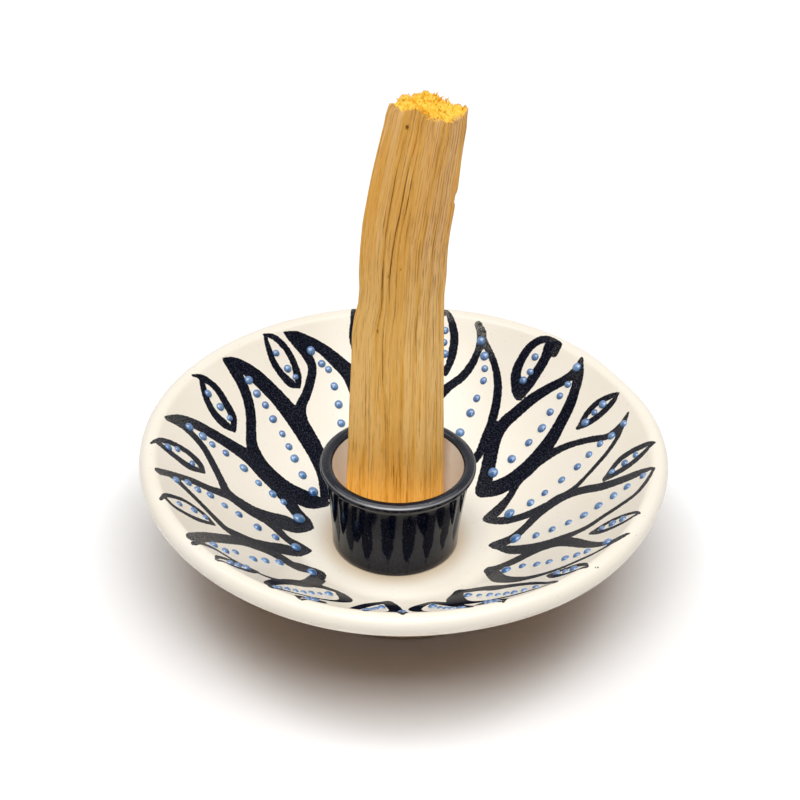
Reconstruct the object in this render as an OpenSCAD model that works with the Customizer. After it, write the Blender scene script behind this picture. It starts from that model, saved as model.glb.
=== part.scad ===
// Palo santo holder: a wheel-thrown dish with a small cup set in its middle,
// a ring of painted petals with raised slip dots, and a loose stick of split wood.
// Millimetres, +Z up, origin on the table under the middle of the dish.

/* [Dish] */
// Diameter over the rolled lip
dish_d = 105; // [95:1:125]
// Height from the table to the top of the lip
dish_h = 29; // [27:0.5:34]
// Radius of the rolled lip, half the thickness of the wall
lip_r = 2.2; // [1.8:0.1:2.8]
// Height of the inside floor above the table
floor_z = 7; // [6:0.5:8]
// Radius of the curve between floor and wall
floor_curve = 7; // [4:0.5:10]
// Slope of the wall where it leaves the floor, in degrees
wall_low = 33; // [30:0.5:35]
// Slope of the wall where it runs into the lip, in degrees
wall_high = 42; // [39:0.5:46]
// Outer diameter of the turned foot ring
foot_d = 48; // [42:1:50]
// Width of the foot ring
foot_w = 4.5; // [3:0.5:7]
// Depth of the recess inside the foot ring
foot_recess = 2.5; // [1.5:0.5:3]

/* [Cup] */
// Sideways offset of the hand-set cup from the middle of the dish
cup_dx = -1.3; // [-2:0.1:2]
// Height from the dish floor to the top of the rim
cup_h = 20; // [18:0.5:24]
// Outer diameter at the dish floor
cup_base_d = 24.8; // [24:0.1:26]
// Outer diameter of the wall at its top, under the rim
cup_top_d = 29.2; // [28.8:0.1:30]
// Inside diameter at the mouth
cup_mouth_d = 26.1; // [26.1:0.1:26.3]
// Inside diameter at the bottom
cup_well_d = 21.2; // [21.2:0.1:22]
// Thickness of the cup floor
cup_floor = 3; // [2:0.5:4]
// Radius of the rounded rim
rim_r = 1.25; // [1.2:0.05:1.4]
// Thickness of the black glaze coat
glaze_t = 0.4; // [0.2:0.05:0.6]

/* [Stick] */
// Length of the split stick with its torn fibres
stick_l = 100; // [60:1:110]
// Width at the sawn lower end
stick_low_w = 19.8; // [14:0.1:20]
// Width lost on the way to the top
stick_taper = 5.4; // [3:0.1:8]
// Depth from front to back
stick_depth = 10.4; // [7:0.1:11]
// How far the torn top end bends to the right
stick_bend = 5; // [0:0.1:6]
// Depth of the tear across the top end
tear_h = 2.4; // [0.5:0.1:4]

/* [Dots] */
// Number of petals round the dish
petals = 15; // [9:1:18]
// Angle of the first petal, in degrees
first_petal = 15; // [0:1:24]
// Dots along the middle of one petal
petal_row = 8; // [4:1:9]
// Radius of the circle through the inmost dots
row_in = 22.6; // [22:0.1:25]
// Radius of the circle through the outmost dots
row_out = 46; // [40:0.1:46.5]
// Sideways bow of a row of dots between its ends, in degrees
row_bow = 3; // [0:0.5:5]
// Diameter of a common dot
dot_d = 1.9; // [1.2:0.1:2.2]
// Diameter of the large dot at the inner end of a petal
big_dot_d = 2.6; // [1.8:0.1:3]
// Height of a dot as a share of its diameter
dot_rise = 0.4; // [0.25:0.01:0.45]
// Diameter of a dot in a leaf
leaf_dot_d = 1.7; // [1.2:0.1:1.8]
// Dots in one small leaf
leaf_row = 3; // [1:1:4]
// Radius of the circle through the middles of the leaves
leaf_mid = 44.4; // [42:0.1:45]
// Distance from dot to dot in a leaf
leaf_step = 1.9; // [1.6:0.1:2]

/* [Hidden] */
$fn = 96;
// Finer facets where small dots are trimmed by the wide wall
seat_fn = 360;

// Degrees that each hand-painted petal strays from an even spacing
petal_drift = [0, 0, 2, 2, 2, 3, 4, 4, 7, 6, 4, 3, 0, 0, 0];

// Inside of the dish: floor curve and wall are arcs that run into the lip
arc_steps = 8;
lip_x = dish_d / 2 - lip_r;
lip_z = dish_h - lip_r;
wall_end = [lip_x - lip_r * sin(wall_high), lip_z + lip_r * cos(wall_high)];
curve_rise = floor_curve * (1 - cos(wall_low));
wall_radius = (wall_end.y - floor_z - curve_rise) / (cos(wall_low) - cos(wall_high));
wall_centre = wall_end + wall_radius * [-sin(wall_high), cos(wall_high)];
wall_start = wall_centre + wall_radius * [sin(wall_low), -cos(wall_low)];
flat_r = wall_start.x - floor_curve * sin(wall_low);
wall_t = 2 * lip_r;
foot_edge = 0.6;
foot_r = foot_d / 2;
foot_in = foot_r - foot_w;

// Cup levels
cup_z = floor_z + cup_h - rim_r;
well_z = floor_z + cup_floor;
rim_flat = 0.05;
rim_x = cup_mouth_d / 2 + rim_r - rim_flat;
well_fillet = 0.4;
above = 20;

// Stick section: four split faces as [direction of the normal in degrees, distance from the middle],
// for a section one unit wide to each side
split_faces = [[-113.8, 0.42], [-36.5, 0.86], [59.1, 0.5], [130.2, 0.67]];
section_power = 12;
section_points = 36;
stick_rings = 30;
cap_rings = 4;
end_chamfer = 0.5;
section_reach = 0.975;
section_depth = 1.36;
// Sideways place of the lower end in the cup
stick_set = -0.4;
// Share of the taper and of the bend that is spread evenly; the rest comes near the top
even_taper = 0.6;
even_bend = 0.14;
// The lowest tenth is pared a little, so that it drops into the cup
pared_part = 0.1;
pared_depth = 0.5;
// How quickly the dots close up towards the tip of a petal
row_ease = 1.2;

// Point on a circle arc, by its slope measured from level
function arc_point(centre, radius, slope) = centre + radius * [sin(slope), -cos(slope)];
function blend(a, b, share) = a + (b - a) * share;

// Inside surface of the dish from the middle of its floor to the top of the lip
function bowl_line() = concat(
    [[0, floor_z]],
    [for (i = [0:arc_steps])
        arc_point([flat_r, floor_z + floor_curve], floor_curve, wall_low * i / arc_steps)],
    [for (i = [1:arc_steps])
        arc_point(wall_centre, wall_radius, blend(wall_low, wall_high, i / arc_steps))],
    [for (i = [1:arc_steps])
        let (turn = (90 + wall_high) - wall_high * i / arc_steps)
        [lip_x, lip_z] + lip_r * [cos(turn), sin(turn)]]);

// Underside from the top of the lip down to the foot ring and its recess
function under_line() = concat(
    [for (i = [1:2 * arc_steps])
        let (turn = 90 - (180 - wall_high) * i / (2 * arc_steps))
        [lip_x, lip_z] + lip_r * [cos(turn), sin(turn)]],
    [for (i = [1:arc_steps])
        arc_point(wall_centre, wall_radius + wall_t, blend(wall_high, wall_low, i / arc_steps))],
    [[foot_r, wall_start.y - wall_t * cos(wall_low) - foot_edge],
     [foot_r, foot_edge],
     [foot_r - foot_edge, 0],
     [foot_in + foot_edge, 0],
     [foot_in, foot_edge],
     [foot_in - foot_edge, foot_recess],
     [0, foot_recess]]);

// Height and slope of the inside surface at a radius on the wall or the floor curve
function on_wall(r) = r > wall_start.x;
function bowl_slope(r) = on_wall(r)
    ? asin((r - wall_centre.x) / wall_radius)
    : asin(max(r - flat_r, 0) / floor_curve);
function bowl_z(r) = on_wall(r)
    ? wall_centre.y - wall_radius * cos(bowl_slope(r))
    : floor_z + floor_curve * (1 - cos(bowl_slope(r)));

// Outline of half the cup, drawn in by the glaze where inset is its thickness
module cup_outline(inset) {
    polygon([
        [0, floor_z],
        [cup_base_d / 2 - inset, floor_z],
        [cup_top_d / 2 - inset, cup_z],
        [0, cup_z]]);
    translate([rim_x, cup_z]) circle(rim_r - inset);
}

// Half of the space inside the cup, open at the top
module cup_space() {
    polygon([
        [0, well_z],
        [cup_well_d / 2 - well_fillet, well_z],
        [cup_well_d / 2, well_z + well_fillet],
        [cup_mouth_d / 2, cup_z],
        [cup_mouth_d / 2, cup_z + above],
        [0, cup_z + above]]);
}

// Half width and sideways drift of the stick at a share of its length
function half_width(u) =
    (stick_low_w - stick_taper * (even_taper * u + (1 - even_taper) * pow(u, 3))) / 2
    - pared_depth * pow(max(1 - u / pared_part, 0), 2);
function drift(u) = stick_set + stick_bend * (even_bend * u + (1 - even_bend) * pow(u, 4));

// Radius of the split section in one direction, with its corners slightly rounded
function face_pull(turn, face) = pow(max(cos(turn - face[0]) / face[1], 0), section_power);
function section_r(turn) =
    pow([for (face = split_faces) face_pull(turn, face)] * [1, 1, 1, 1], -1 / section_power);

// One point of the stick: share of the length, direction, share of the radius
function stick_x(u, turn, share) =
    drift(u) + half_width(u) / section_reach * section_r(turn) * cos(turn) * share;
function stick_y(turn, share) =
    stick_depth / section_depth * section_r(turn) * sin(turn) * share;

// Depth of the tear below the tallest fibre, from coarse and fine splinters:
// each has its share of the tear, then its degrees of wave per millimetre across and along
coarse_tear = [0.3, 75, 50];
fine_tear = [0.2, 140, -85];
function splinter(x, y, wave) = wave[0] * (1 - sin(wave[1] * x + wave[2] * y));
function tear(x, y) = tear_h * (splinter(x, y, coarse_tear) + splinter(x, y, fine_tear));

function stick_ring(u, share) = [
    for (i = [0:section_points - 1])
        let (turn = 360 * i / section_points, x = stick_x(u, turn, share), y = stick_y(turn, share))
        [x, y, u * (stick_l - tear(x, y))]];

module dish() {
    color("#f3ead8")
    rotate_extrude() polygon(concat(bowl_line(), under_line()));
}

module cup() {
    color("#f0e4cf")
    translate([cup_dx, 0, 0]) rotate_extrude()
        difference() {
            cup_outline(glaze_t);
            cup_space();
        }
}

module cup_glaze() {
    color("#15151b")
    translate([cup_dx, 0, 0]) rotate_extrude()
        difference() {
            cup_outline(0);
            cup_outline(glaze_t);
            cup_space();
        }
}

// Loft of split sections from the sawn end up, closed by rings across the torn end
module palo_santo_stick() {
    shrink = 1 - end_chamfer / (stick_depth / 2);
    rings = concat(
        [stick_ring(0, shrink)],
        [[for (p = stick_ring(0, 1)) p + [0, 0, end_chamfer]]],
        [for (k = [1:stick_rings]) stick_ring(k / stick_rings, 1)],
        [for (k = [1:cap_rings - 1]) stick_ring(1, 1 - k / cap_rings)]);
    n = section_points;
    last = len(rings) - 1;
    walls = [for (k = [0:last - 1], i = [0:n - 1], half = [0, 1])
        let (a = k * n + i, b = k * n + (i + 1) % n)
        half == 0 ? [a, a + n, b + n] : [a, b + n, b]];
    bottom = [for (i = [0:n - 1]) [i, (i + 1) % n, (last + 1) * n]];
    top = [for (i = [0:n - 1]) [last * n + (i + 1) % n, last * n + i, (last + 1) * n + 1]];
    middle_top = [drift(1), 0, stick_l - tear(drift(1), 0)];
    points = concat([for (ring = rings) each ring], [[drift(0), 0, 0], middle_top]);
    color("#d3a55f")
    translate([cup_dx, 0, well_z])
        polyhedron(points, concat(walls, bottom, top));
}

// Ball whose cap stands out of the dish as a dot of the given diameter
module dot_ball(r, turn, d) {
    rise = d * dot_rise;
    ball_r = (d * d / 4 + rise * rise) / (2 * rise);
    sunk = ball_r - rise;
    slope = bowl_slope(r);
    rotate(turn)
        translate([r + sunk * sin(slope), 0, bowl_z(r) - sunk * cos(slope)])
            sphere(ball_r);
}

// Balls trimmed by the inside surface, so that each dot sits on it face to face
module seated() {
    intersection() {
        rotate_extrude($fn = seat_fn)
            polygon(concat(bowl_line(), [[lip_x, dish_h + above], [0, dish_h + above]]));
        union() children();
    }
}

function petal_turn(i) = first_petal + 360 / petals * i + petal_drift[i % len(petal_drift)];
function leaf_turn(i) = (petal_turn(i) + petal_turn(i + 1)) / 2;
// Dots stand closer together towards the tip, on a row that bows to one side
function row_r(k) = blend(row_out, row_in, pow(1 - k / (petal_row - 1), row_ease));
function row_turn(r) = row_bow * pow(2 * (r - row_in) / (row_out - row_in) - 1, 2);

module petal_dots() {
    color("#5f8fc4")
    seated()
        for (i = [0:petals - 1], k = [0:petal_row - 1])
            let (r = row_r(k))
            dot_ball(r, petal_turn(i) + row_turn(r), k == 0 ? big_dot_d : dot_d);
}

module leaf_dots() {
    color("#5f8fc4")
    seated()
        for (i = [0:petals - 1], k = [0:leaf_row - 1])
            dot_ball(leaf_mid + leaf_step * (k - (leaf_row - 1) / 2), leaf_turn(i), leaf_dot_d);
}

dish();
cup();
cup_glaze();
palo_santo_stick();
petal_dots();
leaf_dots();
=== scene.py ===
import math

import bpy
import numpy as np
from mathutils import Euler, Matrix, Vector


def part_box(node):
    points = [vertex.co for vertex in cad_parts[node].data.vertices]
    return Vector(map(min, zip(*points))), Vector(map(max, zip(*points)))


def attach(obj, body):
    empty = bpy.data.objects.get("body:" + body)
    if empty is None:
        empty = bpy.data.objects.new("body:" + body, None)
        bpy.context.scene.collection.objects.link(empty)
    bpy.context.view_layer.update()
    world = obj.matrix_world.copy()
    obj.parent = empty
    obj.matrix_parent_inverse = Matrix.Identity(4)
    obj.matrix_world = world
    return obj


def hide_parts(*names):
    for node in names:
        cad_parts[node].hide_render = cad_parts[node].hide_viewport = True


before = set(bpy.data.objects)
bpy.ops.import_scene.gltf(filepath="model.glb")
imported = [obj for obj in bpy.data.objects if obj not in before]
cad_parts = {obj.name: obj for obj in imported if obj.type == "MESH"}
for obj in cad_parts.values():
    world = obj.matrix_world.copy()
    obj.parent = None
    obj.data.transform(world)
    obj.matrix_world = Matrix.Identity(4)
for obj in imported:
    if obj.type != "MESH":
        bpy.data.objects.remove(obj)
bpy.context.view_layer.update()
mm = 0.001
print("frame loaded:", ", ".join(sorted(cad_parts)))

# the photograph's view: sizes in mm, angles in degrees
viewpoint = {
    "target": (-0.82, 0.0, 41.3),
    "distance": 600.0,
    "elevation": 36.13,
    "roll": 1.05,
    "focalPixels": 3062.0,
    "imagePixels": 800,
    "sensor": 36.0,
}


def setCamera(view):
    up = math.radians(view["elevation"])
    away = Vector((0, -math.cos(up), math.sin(up))) * view["distance"]
    lens = view["focalPixels"] * view["sensor"] / view["imagePixels"]
    bpy.ops.object.camera_add(location=(Vector(view["target"]) + away) * mm)
    camera = bpy.context.object
    camera.name = "photoCamera"
    camera.data.sensor_width = view["sensor"]
    camera.data.lens = lens
    camera.data.clip_start = 0.01
    camera.rotation_mode = "ZYX"  # the roll about the line of sight comes first
    camera.rotation_euler = Euler((math.pi / 2 - up, 0, math.radians(view["roll"])), "ZYX")
    bpy.context.scene.camera = camera


setCamera(viewpoint)
print("camera set")


# modelling helpers

def freshStart():
    if bpy.context.mode != "OBJECT":
        bpy.ops.object.mode_set(mode="OBJECT")
    bpy.ops.object.select_all(action="DESELECT")


def drawOutline(name, outline):
    # one vertex, extruded from point to point of a (radius, height) outline in mm
    freshStart()
    bpy.ops.mesh.primitive_plane_add(size=mm)
    piece = bpy.context.object
    piece.name = piece.data.name = name
    bpy.ops.object.mode_set(mode="EDIT")
    bpy.ops.mesh.select_all(action="SELECT")
    bpy.ops.mesh.merge(type="CENTER")
    bpy.ops.transform.translate(value=(outline[0][0] * mm, 0, outline[0][1] * mm))
    for (r0, z0), (r1, z1) in zip(outline, outline[1:]):
        step = ((r1 - r0) * mm, 0, (z1 - z0) * mm)
        bpy.ops.mesh.extrude_region_move(TRANSFORM_OT_translate={"value": step})
    return piece


def turnOnWheel(steps):
    # spins the outline just drawn about the Z axis and closes the seam and the poles
    bpy.ops.mesh.select_all(action="SELECT")
    bpy.ops.mesh.spin(steps=steps, angle=math.tau, center=(0, 0, 0), axis=(0, 0, 1))
    bpy.ops.mesh.select_all(action="SELECT")
    bpy.ops.mesh.remove_doubles(threshold=0.003 * mm)
    bpy.ops.mesh.normals_make_consistent(inside=False)
    bpy.ops.object.mode_set(mode="OBJECT")
    bpy.ops.object.shade_smooth_by_angle(angle=math.radians(50))


def getPoints(piece):
    flat = np.empty(len(piece.data.vertices) * 3)
    piece.data.vertices.foreach_get("co", flat)
    return flat.reshape(-1, 3) / mm


def setPoints(piece, points):
    piece.data.vertices.foreach_set("co", (points * mm).ravel())
    piece.data.update()


def paintValue(piece, name, values):
    layer = piece.data.attributes.new(name, "FLOAT", "POINT")
    layer.data.foreach_set("value", values.astype(np.float32))


def arc(centre, radius, first, last, count):
    # points on an arc, by directions in degrees
    turns = np.radians(np.linspace(first, last, count))
    return [(centre[0] + radius * math.cos(t), centre[1] + radius * math.sin(t)) for t in turns]


def waves(turn, parts):
    # sum of waves round a rim, each a share, a number of waves and a phase
    return sum(share * np.sin(count * turn + phase) for share, count, phase in parts)


def finishPiece(piece, body, slotName, *nodes):
    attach(piece, body)
    if nodes:
        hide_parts(*nodes)


# dish: a spun outline, then the slight unevenness of hand throwing

dishLook = {
    "lipRadius": 2.2,
    "floorHeight": 7.0,
    "floorCurve": 7.0,
    "wallLow": 33.0,
    "wallHigh": 42.0,
    "footRadius": 24.0,
    "footWidth": 4.5,
    "footRecess": 2.5,
    "footEdge": 0.6,
    "footCorner": [(0.15, -0.35), (0.0, -0.9)],  # out from the foot, up from the end of the wall
    "recessEdge": [(0.0, -1.1), (-0.3, -0.3), (-1.0, 0.0)],  # out from the foot's inside, up from the recess
    "floorParts": [0.0, 0.5, 0.8],
    "around": 640,
    "floorRows": 10,
    "wallRows": 84,
    "lipRows": 22,
    "underRows": 18,
    "footRows": 5,
    "rimWave": 0.22,
    "rimWaves": [(1.0, 2, 1.0), (0.5, 5, 2.3)],
    "sideWave": 0.2,
    "sideWaves": [(1.0, 3, 0.4), (0.4, 7, 1.1)],
    "waveGrowth": 1.5,
    "dentTurn": 31.0,
    "dentSpread": 8.0,
    "dentDepth": 0.45,
    "dentFrom": 44.0,
    "dentFade": 8.0,
    "ridgeHeight": 0.05,
    "ridgePitch": 2.6,
    "ridgeBelow": 1.5,
    "ridgeFromFoot": 1.0,
    "ridgeFromLip": 3.0,
    # tan under the wall, from a depth below its inside, fading out towards the lip
    "tanBelow": 1.2,
    "tanFade": 2.0,
    "tanOut": 51.0,
    "tanOutFade": 4.0,
    # a darker, warmer line along the outer edge of the lip, below its top
    "lipEdgeDrop": 2.9,
    "lipEdgeWidth": 0.22,
    "lipEdgeInset": 0.6,
}

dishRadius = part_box("dish")[1].x / mm
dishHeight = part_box("dish")[1].z / mm


def dishLines(look):
    # inside line from the middle of the floor to the lip, and the closed outline
    low, high = math.radians(look["wallLow"]), math.radians(look["wallHigh"])
    lip = (dishRadius - look["lipRadius"], dishHeight - look["lipRadius"])
    lipR, curve, floorZ = look["lipRadius"], look["floorCurve"], look["floorHeight"]
    wallTop = (lip[0] - lipR * math.sin(high), lip[1] + lipR * math.cos(high))
    rise = wallTop[1] - floorZ - curve * (1 - math.cos(low))
    wallR = rise / (math.cos(low) - math.cos(high))
    centre = (wallTop[0] - wallR * math.sin(high), wallTop[1] + wallR * math.cos(high))
    wallFoot = (centre[0] + wallR * math.sin(low), centre[1] - wallR * math.cos(low))
    flatR = wallFoot[0] - curve * math.sin(low)
    lowTurn, highTurn = look["wallLow"] - 90, look["wallHigh"] - 90
    inside = [(flatR * part, floorZ) for part in look["floorParts"]]
    inside += arc((flatR, floorZ + curve), curve, -90, lowTurn, look["floorRows"])
    inside += arc(centre, wallR, lowTurn, highTurn, look["wallRows"])[1:]
    lipRound = arc(lip, lipR, look["wallHigh"] + 90, look["wallHigh"] - 90, look["lipRows"])[1:]
    under = arc(centre, wallR + 2 * lipR, highTurn, lowTurn, look["underRows"])[1:]
    wallEnd = under[-1][1]
    foot, edge, recess = look["footRadius"], look["footEdge"], look["footRecess"]
    footIn = foot - look["footWidth"]
    under += [(foot + out, wallEnd + up) for out, up in look["footCorner"]] + [(foot, edge)]
    under += arc((foot - edge, edge), edge, 0, -90, look["footRows"])[1:]
    under += arc((footIn + edge, edge), edge, -90, -180, look["footRows"])
    under += [(footIn + out, recess + up) for out, up in look["recessEdge"]]
    under += [(footIn * 0.5, recess), (0, recess)]
    return inside + lipRound[:look["lipRows"] // 2], inside + lipRound + under


bowlLine, dishOutline = dishLines(dishLook)
bowlR = np.array([p[0] for p in bowlLine])
bowlZ = np.array([p[1] for p in bowlLine])
bowlRun = np.concatenate([[0], np.cumsum(np.hypot(np.diff(bowlR), np.diff(bowlZ)))])


def handThrown(points, look):
    turn = np.arctan2(points[:, 1], points[:, 0])
    out = np.hypot(points[:, 0], points[:, 1])
    foot = look["footRadius"]
    reach = np.clip((out - foot) / (dishRadius - foot), 0, 1) ** look["waveGrowth"]
    lift = look["rimWave"] * waves(turn, look["rimWaves"]) * reach
    swell = look["sideWave"] * waves(turn, look["sideWaves"]) * reach
    away = np.degrees(np.angle(np.exp(1j * (turn - math.radians(look["dentTurn"])))))
    rimOnly = np.clip((out - look["dentFrom"]) / look["dentFade"], 0, 1) ** 2
    swell = swell - look["dentDepth"] * np.exp(-(away / look["dentSpread"]) ** 2) * rimOnly
    grow = 1 + swell / np.maximum(out, 1)
    return np.column_stack([points[:, 0] * grow, points[:, 1] * grow, points[:, 2] + lift])


def turningMarks(points, look):
    # faint throwing rings under the wall
    out = np.hypot(points[:, 0], points[:, 1])
    under = points[:, 2] < np.interp(out, bowlR, bowlZ) - look["ridgeBelow"]
    first, last = look["footRadius"] + look["ridgeFromFoot"], dishRadius - look["ridgeFromLip"]
    wall = under & (out > first) & (out < last)
    ring = look["ridgeHeight"] * np.sin(math.tau * out / look["ridgePitch"])
    points[:, 2] += np.where(wall, ring, 0)
    return points


dish = drawOutline("dishShell", dishOutline)
turnOnWheel(dishLook["around"])
dishTrue = getPoints(dish)
setPoints(dish, handThrown(turningMarks(dishTrue.copy(), dishLook), dishLook))
finishPiece(dish, "holder", "cream_glaze", "dish")
print("dish turned:", len(dish.data.polygons), "faces")


# petals: two brush strokes each. A knot is mm across (towards the next petal), radius and half the width

petalLook = {
    "count": 15,
    "first": 15.0,
    "drift": [0, 0, 2, 2, 2, 3, 4, 4, 7, 6, 4, 3, 0, 0, 0],
    "unevenness": 0.2,
    "forward": 0.22,
    "forwardTurn": -0.001,
    "speckTurn": 316.6,
    "speck": [(-0.2, 50.9, 0.2), (0.2, 51.1, 0.22)],
    "tipDry": [0.05, 0.05, 0.3, 0.1, 0.0, 0.0, 0.1, 0.1, 0.1, 0.06, 0.06, 0.06, 0.06, 0.06, 0.05],
    "allDry": [0.01, 0, 0, 0, 0, 0, 0, 0.01, 0.04, 0, 0, 0, 0, 0.01, 0.01],
    "endDry": [0.06, 0.02, 0, 0, 0, 0, 0.02, 0.02, 0.03, 0.03, 0.03, 0.03, 0.04, 0.06, 0.05],
    "tipPart": 0.25,
    "endFrom": 0.8,
    "endPart": 0.2,
    "driest": 0.9,
    "thinnest": 0.12,
    "strokePoints": 120,
    "strokeReach": 36.0,
    "noInk": -3.0,
    "slack": 0.08,  # how near the wall's line a painted point lies
    "brim": 0.01,  # the paint stops this far short of the line's end
    "seed": 11,
}

# the common petal, for the one that the stick hides
commonPetal = {
    "plain": [(2.6, 49, 0.4), (0.4, 46.5, 1.0), (-1.2, 44, 1.15), (-2.8, 41, 1.25), (-4.0, 37.3, 1.35),
              (-4.5, 34, 1.5), (-4.0, 30.5, 1.5), (-2.6, 26.8, 1.4), (-0.6, 23.6, 1.3), (1.8, 19.2, 0.7)],
    "curled": [(3.2, 49, 0.4), (2.2, 46.5, 1.0), (2.2, 44, 1.05), (3.6, 41.2, 1.1), (5.8, 38.6, 1.2),
               (8.0, 36, 1.35), (8.9, 33, 1.6), (8.2, 29.5, 1.6), (6.4, 26, 1.5), (4.2, 22.6, 1.5),
               (2.2, 19, 0.7)],
    "dots": [(2.2, 46.5), (1.2, 44), (0.8, 41.7), (0.2, 39.3), (-0.1, 36.6), (0.1, 33.4), (0.4, 30),
             (0.6, 26.8), (1.6, 22.8)],
}

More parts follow.
